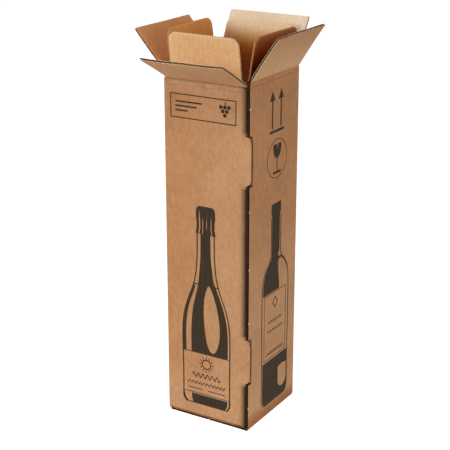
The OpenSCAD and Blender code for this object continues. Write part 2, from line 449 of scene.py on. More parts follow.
@dataclass(frozen=True)
class FlapBoard(KraftBoard):
    """A flap's liner with painted shade: its tone deepens from the free edge down to the fold, as shade does
    in a narrow gap.
    """

    # Depth and level of the painted shade at the fold, and the heights over which it fades.
    fold_shade_depth: float = 0.0
    fold_shade_level: float = 1.0
    fold_shade_over: tuple[float, float] = (2.0, 46.0)

    def extras(self, sheet: NodeSheet, colour: bpy.types.NodeSocket, vector: bpy.types.NodeSocket
               ) -> bpy.types.NodeSocket:
        """Paints shade towards the fold: colour^(1 + share depth), with share 1 at the fold.

        Args:
            sheet: the material's nodes.
            colour: the liner's colour so far.
            vector: the place on the flap, with the height over the fold as Z.

        Returns:
            The colour with its painted shade.
        """
        if not self.fold_shade_depth:
            return colour
        low, high = self.fold_shade_over
        share = sheet.ramp(self.height(sheet, vector), high * MM, low * MM)
        power = sheet.sums("MULTIPLY_ADD", share, self.fold_shade_depth, 1.0)
        deeper = sheet.node("Gamma", {"Color": colour, "Gamma": power}).outputs[0]
        return sheet.scale_colour(deeper, sheet.sums("MULTIPLY_ADD", share, self.fold_shade_level - 1.0, 1.0))


@dataclass(frozen=True)
class CartonBoard(KraftBoard):
    """The carton's own board, with its score bands, its seam and the tones of its walls, much of it painted
    shade.

    A raw edge or a tab's edge is two places and, where it has one, a depth of shade; a warm or foot pair is
    the two places between which a share rises; tabs are two middles and half a height.
    """

    inside_tint: Colour = (1.05, 0.98, 0.90)
    # Painted shade at the foot of the right wall.
    foot_shade_tint: Colour = (0.68, 0.53, 0.40)
    # Painted shade in the open flutes of the raw edges and the bottom gap.
    hollow_shade: Colour = (0.030, 0.012, 0.005)
    inner: float = 55.6
    skin: float = 0.4
    front_skin: float = 0.5
    band: float = 6.5
    band_blur: float = 1.5
    # Streaks in the score band: partly the crushed paper's own tone, partly painted highlight and shade on
    # its ridges.
    band_tone_and_sheen: float = 0.7
    band_scale: float = 420.0
    # Width and depth of the painted shadow under the front flap's fold.
    fold_shadow: tuple[float, float] = (3.2, 0.48)
    raw_edge: tuple[float, float] = (54.9, 57.55)
    raw_depth: float = 3.0
    # Spans of the seam's roll, with its painted shade and the painted shade that leads into it.
    roll_from: float = 40.0
    roll_full: float = 53.5
    roll_shade: tuple[float, float, float] = (0.3, 2.6, 0.10)
    roll_lead_shade: float = 0.84
    roll_power: float = 2.2
    roll_off_tabs: float = 5.0
    nicks: tuple[float, ...] = (30.5, 141.3, 209.0, 279.3, 398.5)
    nick_tall: tuple[float, float] = (1.3, 0.6)
    nick_deep: tuple[float, float] = (1.9, 1.2)
    nick_wide: float = 1.6
    torn: Colour = (0.700, 0.545, 0.410)
    tabs: tuple[float, float, float] = (91.0, 338.0, 29.2)
    # Painted shade on the tabs' cut edges.
    tab_edge: tuple[float, float, float] = (0.35, 4.0, 0.75)
    edge_blur: float = 0.3
    tab_past: float = 0.1
    tab_soft: float = 0.1
    bottom_gap: tuple[float, float, float] = (0.35, 2.75, 54.5)
    foot: tuple[float, float] = (6.0, 26.0)
    # The warmer brown is partly the board's own tone and partly painted shade.
    warm_shade_tint: Colour = (0.935, 0.865, 0.790)
    warm_left: tuple[float, float] = (30.0, -40.0)
    warm_low: tuple[float, float] = (25.0, 90.0)
    warm_top: tuple[float, float] = (421.0, 400.0)
    warm_up: tuple[float, float] = (110.0, 330.0)

    def extras(self, sheet: NodeSheet, colour: bpy.types.NodeSocket, vector: bpy.types.NodeSocket
               ) -> bpy.types.NodeSocket:
        """Adds the carton's marks to its colour, many of them painted shade.

        They are the inside's tint, the band's streaks (partly painted highlight), the painted shadow under
        the front fold, the painted shade at the foot of the right wall, the warmer brown (partly painted
        shade), the painted shade of the seam's roll, of the tabs' edges and of the hollows, and the torn
        nicks.

        Args:
            sheet: the material's nodes.
            colour: the board's colour so far.
            vector: the place on the carton.

        Returns:
            The tinted colour.
        """
        x, y, z = sheet.node("SeparateXYZ", {0: vector}).outputs
        reach = sheet.sums("MAXIMUM", sheet.sums("ABSOLUTE", x), sheet.sums("ABSOLUTE", y))
        inside = sheet.ramp(reach, (self.inner + self.skin) * MM, self.inner * MM)
        colour = sheet.mix(inside, colour, sheet.mix(1.0, colour, self.inside_tint, "MULTIPLY"))
        front = sheet.sums("LESS_THAN", y, (self.front_skin - HALF) * MM)
        fold = sheet.sums("MULTIPLY_ADD", front, (FRONT_FOLD - SIDE_FOLD) * MM, SIDE_FOLD * MM)
        under = sheet.sums("SUBTRACT", fold, z)
        band = sheet.ramp(under, (self.band + self.band_blur) * MM, (self.band - self.band_blur) * MM)
        # The band's streaks: partly the crushed paper's tone, partly painted highlight and shade.
        rolls = sheet.noise(sheet.stretch(vector, (0.1, 0.1, 1.0)), self.band_scale, detail=3.0, rough=0.6)
        lift = sheet.sums("MULTIPLY", sheet.sums("SUBTRACT", rolls, 0.5), self.band_tone_and_sheen)
        colour = sheet.scale_colour(colour, sheet.sums("MULTIPLY_ADD", band, lift, 1.0))
        # Painted shadow in a line under the front flap's fold.
        line = sheet.sums("MULTIPLY", front, sheet.ramp(under, self.fold_shadow[0] * MM, 0.0))
        colour = sheet.scale_colour(colour, sheet.sums("MULTIPLY_ADD", line, -self.fold_shadow[1], 1.0))
        right = sheet.sums("GREATER_THAN", x, (HALF - self.skin) * MM)
        # Painted shade at the foot of the right wall.
        foot = sheet.sums("MULTIPLY", right, sheet.ramp(z, self.foot[1] * MM, self.foot[0] * MM))
        colour = sheet.mix(foot, colour, sheet.mix(1.0, colour, self.foot_shade_tint, "MULTIPLY"))
        # The warmer brown: partly the board's tone, partly painted shade.
        warm = self.warm_shade_share(sheet, x, z, right)
        colour = sheet.mix(warm, colour, sheet.mix(1.0, colour, self.warm_shade_tint, "MULTIPLY"))
        # Painted shade of the seam's roll.
        colour = sheet.scale_colour(colour, self.roll(sheet, x, y, z))
        # Painted shade on the tabs' cut edges.
        colour = sheet.scale_colour(colour, self.tab_edge_shades(sheet, x, y))
        # Painted shade in the open flutes and the bottom gap.
        colour = sheet.mix(self.hollow_shades(sheet, x, y, z), colour, self.hollow_shade)
        return sheet.mix(self.torn_nicks(sheet, x, y, z), colour, self.torn)

    def warm_shade_share(self, sheet: NodeSheet, x: Value, z: Value, right: Value) -> bpy.types.NodeSocket:
        """Gives the share of the warmer brown, partly the board's own tone and partly painted shade: it grows
        to the left, and up the right wall.

        Args:
            sheet: the material's nodes.
            x: the place from left to right.
            z: the height.
            right: 1 on the right wall.

        Returns:
            The share from 0 to 1.
        """
        beside = sheet.ramp(x, self.warm_left[0] * MM, self.warm_left[1] * MM)
        for low, high in (self.warm_low, self.warm_top):
            beside = sheet.sums("MULTIPLY", beside, sheet.ramp(z, low * MM, high * MM))
        up = sheet.ramp(z, self.warm_up[0] * MM, self.warm_up[1] * MM)
        return sheet.sums("MAXIMUM", beside, sheet.sums("MULTIPLY", right, up))

    def off_tabs(self, sheet: NodeSheet, z: Value, soft: float) -> bpy.types.NodeSocket:
        """Gives 1 at heights away from the tabs.

        Args:
            sheet: the material's nodes.
            z: the height.
            soft: the distance over which the share rises.

        Returns:
            The share from 0 beside a tab to 1 away from both.
        """
        low, high, reach = self.tabs
        share: Value = 1.0
        for middle in (low, high):
            away = sheet.sums("ABSOLUTE", sheet.sums("SUBTRACT", z, middle * MM))
            share = sheet.sums("MULTIPLY", share, sheet.ramp(away, reach * MM, (reach + soft) * MM))
        return share

    def roll(self, sheet: NodeSheet, x: Value, y: Value, z: Value) -> bpy.types.NodeSocket:
        """Gives the painted shade of the seam's roll: it deepens as the roll turns inwards, and in a lead on
        the flat face before it.

        Args:
            sheet: the material's nodes.
            x: the place from left to right.
            y: the place from front to back.
            z: the height.

        Returns:
            1 on the front face, falling along the roll.
        """
        start, end, low = self.roll_shade
        turned = sheet.ramp(y, (start - HALF) * MM, (end - HALF) * MM)
        beside = sheet.sums("MULTIPLY", sheet.sums("GREATER_THAN", x, self.roll_from * MM),
                            sheet.sums("LESS_THAN", x, self.raw_edge[0] * MM))
        front = sheet.sums("LESS_THAN", y, -self.roll_from * MM)
        turned = sheet.sums("MULTIPLY", sheet.sums("MULTIPLY", turned, beside), front)
        lead = sheet.sums("POWER", sheet.ramp(x, self.roll_from * MM, self.roll_full * MM), self.roll_power)
        lead = sheet.sums("MULTIPLY", lead, front)
        lead = sheet.sums("MULTIPLY", lead, self.off_tabs(sheet, z, self.roll_off_tabs))
        lead = sheet.sums("MULTIPLY", lead, sheet.sums("LESS_THAN", x, self.raw_edge[0] * MM))
        whole = sheet.sums("MULTIPLY_ADD", turned, low - 1.0, 1.0)
        return sheet.sums("MULTIPLY", whole, sheet.sums("MULTIPLY_ADD", lead, -self.roll_lead_shade, 1.0))

    def tab_edge_shades(self, sheet: NodeSheet, x: Value, y: Value) -> bpy.types.NodeSocket:
        """Gives the painted shade on the cut edges of the tabs, in the gap beside the right wall.

        Args:
            sheet: the material's nodes.
            x: the place from left to right.
            y: the place from front to back.

        Returns:
            1 on the faces, less on the edges that stand past the right wall.
        """
        start, end, depth = self.tab_edge
        past = sheet.sums("GREATER_THAN", x, (HALF + self.tab_past) * MM)
        behind = sheet.ramp(y, (start - HALF) * MM, (start + self.edge_blur - HALF) * MM)
        near = sheet.sums("LESS_THAN", y, (end - HALF) * MM)
        edge = sheet.sums("MULTIPLY", sheet.sums("MULTIPLY", past, behind), near)
        return sheet.sums("MULTIPLY_ADD", edge, -depth, 1.0)

    def torn_nicks(self, sheet: NodeSheet, x: Value, y: Value, z: Value) -> bpy.types.NodeSocket:
        """Gives 1 on the torn nicks along the seam's raw edge.

        Args:
            sheet: the material's nodes.
            x: the place from left to right.
            y: the place from front to back.
            z: the height.

        Returns:
            The nicks' mask.
        """
        share: Value = 0.0
        for middle in self.nicks:
            away = sheet.sums("ABSOLUTE", sheet.sums("SUBTRACT", z, middle * MM))
            share = sheet.sums("MAXIMUM", share, sheet.ramp(away, *(size * MM for size in self.nick_tall)))
        beside = sheet.sums("MULTIPLY", sheet.sums("GREATER_THAN", x, (HALF - self.nick_wide) * MM),
                            sheet.ramp(y, *((depth - HALF) * MM for depth in self.nick_deep)))
        return sheet.sums("MULTIPLY", share, beside)

    def hollow_shades(self, sheet: NodeSheet, x: Value, y: Value, z: Value) -> bpy.types.NodeSocket:
        """Gives 1 where shade is painted: in the open flutes of the seam's raw edge and of the bottom flaps'
        edges.

        Args:
            sheet: the material's nodes.
            x: the place from left to right.
            y: the place from front to back.
            z: the height.

        Returns:
            The hollows' mask.
        """
        start, end = self.raw_edge
        past = sheet.ramp(x, start * MM, (start + self.edge_blur) * MM)
        under = sheet.ramp(x, end * MM, (end - self.edge_blur) * MM)
        near = sheet.sums("LESS_THAN", y, (self.raw_depth - HALF) * MM)
        raw = sheet.sums("MULTIPLY", sheet.sums("MULTIPLY", past, under), near)
        raw = sheet.sums("MULTIPLY", raw, self.off_tabs(sheet, z, self.tab_soft))
        floor, top, edge = self.bottom_gap
        gap = sheet.sums("MULTIPLY", sheet.sums("GREATER_THAN", z, floor * MM),
                         sheet.sums("LESS_THAN", z, top * MM))
        gap = sheet.sums("MULTIPLY", gap, sheet.sums("GREATER_THAN", sheet.sums("ABSOLUTE", y), edge * MM))
        beside = sheet.sums("LESS_THAN", sheet.sums("ABSOLUTE", x), edge * MM)
        return sheet.sums("MAXIMUM", raw, sheet.sums("MULTIPLY", gap, beside))


@dataclass(frozen=True)
class CutPaper:
    """The fibrous cut edge of paper."""

    name: str
    light: Colour
    deep: Colour
    fine_scale: float = 1900.0
    coarse_scale: float = 260.0
    fine_share: float = 0.6
    coarse_share: float = 0.4
    bump_strength: float = 0.7
    relief: float = 0.08
    roughness: float = 0.9
    gloss: float = 0.15

    def material(self) -> bpy.types.Material:
        """Builds the node material: two browns by a fine and a coarse noise, with a rough bump.

        Returns:
            The material.
        """
        made, sheet = new_material(self.name)
        vector = sheet.node("TexCoord").outputs["Object"]
        fine = sheet.noise(vector, self.fine_scale, detail=3.0, rough=0.7)
        coarse = sheet.noise(vector, self.coarse_scale, detail=3.0)
        tone = sheet.sums("ADD", sheet.ramp(fine, *NOISE_SPAN, (0.0, self.fine_share)),
                          sheet.ramp(coarse, *NOISE_SPAN, (0.0, self.coarse_share)))
        bump = sheet.node("Bump", {"Strength": self.bump_strength, "Distance": self.relief * MM,
                                   "Height": fine})
        shader = sheet.node("BsdfPrincipled", {
            "Base Color": sheet.mix(tone, self.deep, self.light), "Roughness": self.roughness,
            "Specular IOR Level": self.gloss, "Normal": bump.outputs[0]})
        sheet.node("OutputMaterial", {"Surface": shader.outputs[0]})
        return made


@dataclass(frozen=True)
class PrintInk:
    """Dark brown printing ink, a little thin where the board is rough."""

    name: str
    ink: Colour
    thin: Colour
    fine_scale: float = 1500.0
    patch_scale: float = 90.0
    wave_share: float = 0.06
    patch_share: float = 0.5
    thins_over: tuple[float, float] = (0.72, 1.05)
    thins_to: float = 0.55
    bump_strength: float = 0.5
    relief: float = 0.05
    roughness: float = 0.76
    gloss: float = 0.12

    def material(self) -> bpy.types.Material:
        """Builds the node material.

        Ink thins by a fine noise and along the stripes over the flutes.

        Returns:
            The material.
        """
        made, sheet = new_material(self.name)
        vector = sheet.node("TexCoord").outputs["Object"]
        x, y, _ = sheet.node("SeparateXYZ", {0: vector}).outputs
        across = sheet.sums("ADD", x, y)
        wave = sheet.sums("SINE", sheet.sums("MULTIPLY", across, 2 * math.pi / (PITCH * MM)))
        fine = sheet.noise(vector, self.fine_scale, detail=3.0, rough=0.7)
        patch = sheet.noise(vector, self.patch_scale, detail=4.0, rough=0.6)
        bare = sheet.sums("MULTIPLY_ADD", patch, self.patch_share, fine)
        bare = sheet.sums("MULTIPLY_ADD", wave, self.wave_share, bare)
        share = sheet.ramp(bare, *self.thins_over, (0.0, self.thins_to))
        bump = sheet.node("Bump", {"Strength": self.bump_strength, "Distance": self.relief * MM,
                                   "Height": fine})
        shader = sheet.node("BsdfPrincipled", {
            "Base Color": sheet.mix(share, self.ink, self.thin), "Roughness": self.roughness,
            "Specular IOR Level": self.gloss, "Normal": bump.outputs[0]})
        sheet.node("OutputMaterial", {"Surface": shader.outputs[0]})
        return made


@dataclass
class Finishes:
    """The finishes of the whole box, made once."""

    carton: bpy.types.Material = field(init=False)
    sleeve: bpy.types.Material = field(init=False)
    skins: dict[FlapSkin, bpy.types.Material] = field(init=False)
    liners: dict[LinerShade, bpy.types.Material] = field(init=False)
    cut: bpy.types.Material = field(init=False)
    gap_shade_cut: bpy.types.Material = field(init=False)
    flute: bpy.types.Material = field(init=False)
    ink: bpy.types.Material = field(init=False)

    def __post_init__(self) -> None:
        """Makes each material from its finish."""
        walls, board = PatternPlace.WALLS, PatternPlace.BOARD
        light, deep = (0.545, 0.290, 0.143), (0.440, 0.222, 0.104)
        self.carton = CartonBoard("carton_kraft", light, deep, walls).material()
        # The sleeve's board is a deep red brown: painted shade for the inside of the box's mouth.
        self.sleeve = KraftBoard("sleeve_shaded_kraft", (0.300, 0.078, 0.014), (0.225, 0.052, 0.008),
                                 walls).material()
        # Besides the carton's own board, the skins are painted light and shade: a copy that darkens towards
        # its tip, a lit copy of the sleeve's board, and a shaded copy for the gaps that deepens towards the
        # fold.
        skins = (
            FlapBoard(FlapSkin.CARTON.value, light, deep, board),
            FlapBoard(FlapSkin.SHADED.value, (0.462, 0.246, 0.117), (0.374, 0.189, 0.086), board,
                      fold_shade_depth=-0.15, fold_shade_level=1.175, fold_shade_over=(4.0, 62.0)),
            FlapBoard(FlapSkin.SLEEVE.value, (0.815, 0.505, 0.264), (0.720, 0.428, 0.212), board,
                      stripe=0.016),
            FlapBoard(FlapSkin.GAP.value, (0.620, 0.265, 0.095), (0.520, 0.205, 0.068), board, streak=0.05,
                      grain=0.25, fibre=0.15, fold_shade_depth=1.4, fold_shade_level=0.58, fold_shade_over=(6.0, 50.0)))
        self.skins = {FlapSkin(skin.name): skin.material() for skin in skins}
        # The liner tones are lit and shaded copies of one paper, painted light and shade; the last two
        # numbers are the depth and level of the painted shade at the fold.
        tones = (
            (LinerShade.PALE, (0.850, 0.680, 0.480), (0.755, 0.580, 0.390), 0.40, 0.3, 1.0),
            (LinerShade.CREAM, (0.850, 0.630, 0.405), (0.760, 0.540, 0.325), 0.18, 3.8, 0.6),
            (LinerShade.WARM, (0.740, 0.345, 0.138), (0.640, 0.272, 0.100), 0.40, 0.15, 1.05),
            (LinerShade.DEEP, (0.900, 0.410, 0.124), (0.800, 0.325, 0.090), 0.40, 0.45, 0.95),
            (LinerShade.DARK, (0.560, 0.235, 0.080), (0.460, 0.178, 0.056), 0.40, 0.6, 0.8))
        self.liners = {
            tone: FlapBoard(tone.value, high, low, board, stripe=0.018, streak=grain / 4, grain=grain,
                            fibre=grain / 2, fold_shade_depth=depth, fold_shade_level=level).material()
            for tone, high, low, grain, depth, level in tones}
        self.cut = CutPaper("cut_liner", (0.900, 0.690, 0.480), (0.640, 0.440, 0.260)).material()
        # The cut edges of the flaps in the gaps are darker: painted shade.
        self.gap_shade_cut = CutPaper("cut_gap_shade_liner", (0.560, 0.300, 0.130), (0.400, 0.190, 0.075)).material()
        # The waved paper's dark brown is partly its own colour and partly painted shade of the open flutes.
        self.flute = CutPaper("flute_paper", (0.330, 0.180, 0.082), (0.190, 0.098, 0.042)).material()
        self.ink = PrintInk("brown_black_ink", (0.036, 0.023, 0.013), (0.095, 0.058, 0.031)).material()


@dataclass
class Board:
    """Sizes that all boards of the box share.

    The web is the board crushed flat beside the fold, and crush the height at which it is thick again.
    Ragged values are the spread of the cut along the free edge and along the sides. A wave is its height in
    degrees, its pace along the fold, its shift from flap to flap and, for the short one, its pace up the
    flap. Rows are spans of the flap's height with their counts, closer at the fold and at the free edge.
    """

    thick: float = 3.0
    paper: float = 0.36
    wave_half: float = 0.45
    wave_clear: float = 1.5
    wave_least: float = 0.02
    web: float = 1.2
    web_lean: float = 0.58
    web_lean_deg: float = 2.5
    web_bulge: float = 0.1
    crush: float = 4.5
    gap: float = 0.3
    hinge_off: float = 0.15
    sag: float = 0.05
    ragged: tuple[float, float] = (0.07, 0.06)
    ragged_round: float = 0.6
    die_reach: float = 2.2
    pinch: float = 0.16
    crease_in: float = 0.2
    crease_lap: float = 0.05
    crease_skin: tuple[float, float] = (0.03, 0.05)
    crease_map: tuple[float, float] = (2.0, -3.0)
    long_wave: tuple[float, float, float] = (0.35, 2.1, 1.3)
    short_wave: tuple[float, float, float, float] = (0.2, 5.3, 2.7, 2.0)
    columns_a_flute: int = 10
    rows: tuple[tuple[float, float, int], ...] = ((0.0, 0.1, 6), (0.15, 0.93, 10), (0.955, 1.0, 6))
    first_seed: int = 11
    map_step: float = 400.0


@dataclass
class Flap:
    """One corrugated flap: two liners on a waved paper, bent a little, and the crease it turns on.

    The seat is the fold's middle on the box, turn_deg the wall it stands on, and crushed the share by which
    the die pressed its cut edges.
    """

    node: str
    side: FoldSide
    width: float
    length: float
    open_deg: float
    turn_deg: float
    seat: tuple[float, float, float]
    corner: float = 0.0
    twist_deg: float = 0.0
    bow_deg: float = 0.0
    # tone: the flap's lit or shaded copy of the inner liner, painted light and shade
    tone: LinerShade = LinerShade.WARM
    seed: int = 0
    crushed: float = 0.25
    skin: FlapSkin = FlapSkin.CARTON
    board: Board = field(default_factory=Board)

    @property
    def hinge_y(self) -> float:
        """Place of the fold line through the board's thickness, from its outer face."""
        b = self.board
        return -b.hinge_off if self.side is FoldSide.OUTER else b.thick + b.hinge_off

    def lean(self) -> float:
        """Angle by which the crushed web's end slopes, in degrees."""
        return 0.0 if self.side is FoldSide.OUTER else self.open_deg + self.board.web_lean_deg

    def place(self, x: Array, y: Array, z: Array, angle_deg: Array | float) -> Array:
        """Turns points of the upright flap about its fold, then puts them on the box.

        Args:
            x: along the fold.
            y: through the board, from its outer face.
            z: up from the fold.
            angle_deg: opening angle of each point.

        Returns:
            Points (..., 3) in the part's frame.
        """
        a, turn = np.radians(angle_deg), math.radians(self.turn_deg)
        dy = y - self.hinge_y
        yy = dy * np.cos(a) - z * np.sin(a) + self.hinge_y
        zz = dy * np.sin(a) + z * np.cos(a)
        along = x * math.cos(turn) - yy * math.sin(turn)
        across = x * math.sin(turn) + yy * math.cos(turn)
        return np.stack([along, across, zz], -1) + np.array(self.seat)

    def columns(self) -> Array:
        """Gives places along the fold: even over the flutes, and closer round the corners.

        Returns:
            The places, from one end to the other.
        """
        half = self.width / 2
        count = int(round(self.width / PITCH * self.board.columns_a_flute))
        even = np.linspace(-half, half, count + 1)
        if not self.corner:
            return even
        round_off = half - self.corner + self.corner * np.sin(np.linspace(0, math.pi / 2, 16))
        inner = even[np.abs(even) < half - self.corner]
        return np.concatenate([-round_off[::-1], inner, round_off])

    def top(self, x: Array) -> Array:
        """Height of the free edge: straight, with quarter circles at rounded corners."""
        over = np.clip(np.abs(x) - (self.width / 2 - self.corner), 0.0, self.corner)
        return self.length - self.corner + np.sqrt(np.maximum(self.corner**2 - over**2, 0.0))

    def angle(self, x: Array, z: Array) -> Array:
        """Gives the opening angle of each point.

        With u from -1 to 1 along the fold and v from 0 to 1 up the flap it is open + twist u
        + 2 bow v (v - 0.5), plus two slow waves that grow with v.

        Args:
            x: along the fold.
            z: up from the fold.

        Returns:
            Angles in degrees.
        """
        u, v = 2 * x / self.width, z / self.length
        height, pace, shift = self.board.long_wave
        long_wave = height * np.sin(pace * u + shift * self.seed) * v
        height, pace, shift, rise = self.board.short_wave
        short_wave = height * np.sin(pace * u + shift * self.seed + rise * v) * v
        bow = self.bow_deg * (v - 0.5) * v * 2
        return self.open_deg + self.twist_deg * u + bow + (long_wave + short_wave)

    def faces(self, z: Array) -> tuple[Array, Array]:
        """Gives the outer and inner face of the board at a height: crushed near the fold.

        Args:
            z: height over the fold.

        Returns:
            Places of the two faces through the thickness.
        """
        b = self.board
        s = np.clip((z - b.gap) / (b.crush - b.gap), 0.0, 1.0)
        thick = b.web + (b.thick - b.web) * (s + b.web_bulge * np.sin(math.pi * s))
        if self.side is FoldSide.OUTER:
            return np.zeros_like(z), thick
        return b.thick - thick, np.full_like(z, b.thick)

    def crush(self, x: Array, z: Array) -> Array:
        """Share by which the die crushed the board: it rises smoothly towards a cut edge."""
        edge = np.minimum(self.top(x) - z, self.width / 2 - np.abs(x))
        return self.crushed * ease(1 - edge / self.board.die_reach)

    def build(self, finishes: Finishes) -> bpy.types.Object:
        """Builds the flap's board.

        Each paper is a grid over the distance along the fold and the height. The waved paper's middle is
        the board's middle plus its depth times the cosine over the flutes, and the liners sag between
        the flutes' tips.

        Args:
            finishes: the box's finishes.

        Returns:
            The flap's object.
        """
        b = self.board
        rng = np.random.default_rng(self.seed + b.first_seed)
        x = self.columns()
        v = np.concatenate([np.linspace(*span) for span in b.rows])
        rows = np.stack(np.meshgrid(x, v, indexing="ij"), -1)
        grid_x = rows[..., 0]
        top_ragged, side_ragged = b.ragged
        ragged = rng.normal(0.0, top_ragged, len(x)) * (b.ragged_round if self.corner else 1)
        low = b.gap + np.tan(math.radians(self.lean())) * (b.web * b.web_lean)
        grid_z = low + rows[..., 1] * (self.top(grid_x) + ragged[:, None] - low)
        edge = np.zeros((len(x), len(v)))
        edge[0], edge[-1] = rng.normal(0.0, side_ragged, len(v)), rng.normal(0.0, side_ragged, len(v))
        grid_x = grid_x + edge
        outer, inner = self.faces(grid_z)
        crush = self.crush(grid_x, grid_z)
        pinch = b.pinch * crush * (inner - outer)
        outer, inner = outer + pinch, inner - pinch
        flute = np.cos(2 * math.pi * grid_x / PITCH)
        sag_o, sag_i = b.sag * (1 + flute) * 0.5, b.sag * (1 - flute) * 0.5
        angle = self.angle(grid_x, grid_z)
        coords = np.stack([grid_x + b.map_step * self.seed, grid_z], -1)
        parts = MeshParts()

        def sheet(front: Array, rear: Array, kinds: tuple[int, int, int]) -> None:
            """Adds one paper of the board between two faces."""
            parts.sheet(self.place(grid_x, front, grid_z, angle), self.place(grid_x, rear, grid_z, angle),
                        coords, kinds)

        sheet(outer + sag_o, outer + b.paper, (0, 3, 2))
        sheet(inner - sag_i, inner - b.paper, (1, 3, 2))
        depth = np.maximum((inner - outer) / 2 - b.wave_clear * b.paper, b.wave_least)
        waved = (outer + inner) / 2 + depth * flute
        full = b.paper * b.wave_half + crush * depth
        is_outer = self.side is FoldSide.OUTER
        rim = 3 if is_outer else 2
        sheet(np.minimum(waved + full, inner - b.paper), np.maximum(waved - full, outer + b.paper),
              (3, 3, rim))
        # Flaps in the gaps get cut edges darkened with painted shade.
        cut = finishes.gap_shade_cut if self.skin is FlapSkin.GAP else finishes.cut
        papers = [finishes.skins[self.skin], finishes.liners[self.tone], cut, finishes.flute]
        piece = parts.build(self.node + "_board", papers)
        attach(piece, self.node)
        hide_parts(self.node)
        return piece

    def crease(self, finishes: Finishes) -> bpy.types.Object:
        """Builds the crushed board in the fold: layers that fan out about the fold line as the flap turns.

        Layer k of K turns by k/K of the opening angle, so the first lies on the wall and the last on the
        flap.

        Args:
            finishes: the box's finishes.

        Returns:
            The crease's object.
        """
        b = self.board
        sign, slope = self.side.value, math.tan(math.radians(self.lean()))
        step = np.linspace(0.0, 1.0, 11)[:, None]
        half = self.width / 2 - b.crease_in
        x = np.linspace(-half, half, 24)[None, :]

        def arc(radius: float) -> Array:
            """Gives one arc of the fan.

            Args:
                radius: the arc's distance from the fold line.

            Returns:
                Points (layers, columns, 3) in the part's frame.
            """
            lift = -b.crease_lap + step * (b.gap + 2 * b.crease_lap + slope * radius)
            part = np.broadcast_to(step, (step.size, x.size))
            depth = np.full(part.shape, self.hinge_y + sign * radius)
            return self.place(np.broadcast_to(x, part.shape), depth, np.broadcast_to(lift, part.shape),
                              self.open_deg * part)

        near, far = b.hinge_off + b.crease_skin[0], b.hinge_off + b.web - b.crease_skin[1]
        tall, under = b.crease_map
        coords = np.stack(np.broadcast_arrays(x + b.map_step * self.seed, step * tall + under), -1)
        parts = MeshParts()
        parts.sheet(arc(far), arc(near), coords, (0, 0, 0))
        is_outer = self.side is FoldSide.OUTER
        skin = finishes.skins[self.skin] if is_outer else finishes.liners[self.tone]
        piece = parts.build(self.node + "_crease", [skin])
        middle = arc((near + far) / 2)
        start, end = middle[0].mean(0) * MM, middle[-1].mean(0) * MM
        tuple(start)
        tuple(end)
        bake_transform(piece)
        return piece


class Wall(Enum):
    """A printed wall."""

    FRONT = "front"
    RIGHT = "right"


@dataclass(frozen=True)
class Change:
    """A value that changes over a stretch of heights: start + by ease((z - base) / over)."""

    start: float
    by: float
    base: float
    over: float

    def at(self, z: Array) -> Array:
        """Gives the value at heights."""
        return self.start + self.by * ease((z - self.base) / self.over)


@dataclass
class InkPrint:
    """A figure in ink on one wall: thin plates between pairs of curves."""

    name: str
    wall: Wall
    proud: float = 0.05
    sunk: float = 0.03
    least: float = 0.05
    parts: MeshParts = field(default_factory=MeshParts)

    def on_wall(self, h: Array, z: Array, out: float) -> Array:
        """Puts wall places (across, up) on the wall's face.

        Args:
            h: distance across the wall: X on the front, Y on the right.
            z: height.
            out: distance out of the wall's face.

        Returns:
            Points (..., 3) in the part's frame.
        """
        level = np.full_like(h, HALF + out)
        return np.stack([h, -level, z] if self.wall is Wall.FRONT else [level, h, z], -1)

    def strip(self, a: Array, b: Array, ring: bool = False) -> None:
        """Adds a plate between two curves of (across, up) points: p = a + v (b - a), v from 0 to 1.

        Args:
            a: points (n, 2) of one edge.
            b: points (n, 2) of the other edge.
            ring: True where both curves are closed.
        """
        v = np.linspace(0.0, 1.0, 3)[None, :, None]
        flat = a[:, None, :] + v * (b - a)[:, None, :]
        h, z = flat[..., 0], flat[..., 1]
        face, back = self.on_wall(h, z, self.proud), self.on_wall(h, z, -self.sunk)
        self.parts.sheet(face, back, flat, (0, 0, 0), ring)

    def field_between(self, z: Array, left: Array, right: Array) -> None:
        """Adds the field between a left and a right edge, both over the height."""
        self.strip(np.stack([left, z], -1), np.stack([np.maximum(right, left + self.least), z], -1))

    def bar(self, h0: float, z0: float, h1: float, z1: float) -> None:
        """Adds an upright rectangle between two corners."""
        z = np.linspace(z0, z1, 12)
        self.field_between(z, np.full_like(z, h0), np.full_like(z, h1))

    def stroke(self, path: Array, weight: Array | float) -> None:
        """Adds a line of a given weight along a path: each point moves half the weight along the normal.

        Args:
            path: points (n, 2).
            weight: the line's width, in all or at each point.
        """
        along = np.gradient(path, axis=0)
        normal = np.stack([-along[:, 1], along[:, 0]], -1) / np.linalg.norm(along, axis=1)[:, None]
        reach = normal * (np.broadcast_to(weight, len(path)) / 2)[:, None]
        self.strip(path - reach, path + reach)

    def wave(self, centre: float, reach: float, level: float, height: float, pace: float, weight: float
             ) -> None:
        """Adds a waving line z = level + height sin(pace (h - centre)), even in weight along its slope.

        Args:
            centre: the line's middle across the wall.
            reach: half its length.
            level: its mean height.
            height: the wave's height over the mean.
            pace: turns in radians a millimetre.
            weight: the line's width.
        """
        h = np.linspace(centre - reach, centre + reach, 220)
        z = level + height * np.sin((h - centre) * pace)
        half = weight / 2 * np.sqrt(1 + (height * pace * np.cos((h - centre) * pace)) ** 2)
        self.strip(np.stack([h, z - half], -1), np.stack([h, z + half], -1))

    def circle(self, h: float, z: float, radius: float, weight: float) -> None:
        """Adds a ring about a point.

        Args:
            h: the middle's place across the wall.
            z: the middle's height.
            radius: to the middle of the line.
            weight: the line's width.
        """
        turn = np.linspace(0.0, 2 * math.pi, 73)
        unit = np.stack([np.cos(turn), np.sin(turn)], -1)
        centre = np.array([h, z])
        self.strip(centre + unit * (radius - weight / 2), centre + unit * (radius + weight / 2), ring=True)

    def build(self, finishes: Finishes) -> bpy.types.Object:
        """Makes the print's object, on the box's body.

        Args:
            finishes: the box's finishes.

        Returns:
            The print's object.
        """
        piece = self.parts.build(self.name, [finishes.ink])
        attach(piece, "box")
        return piece


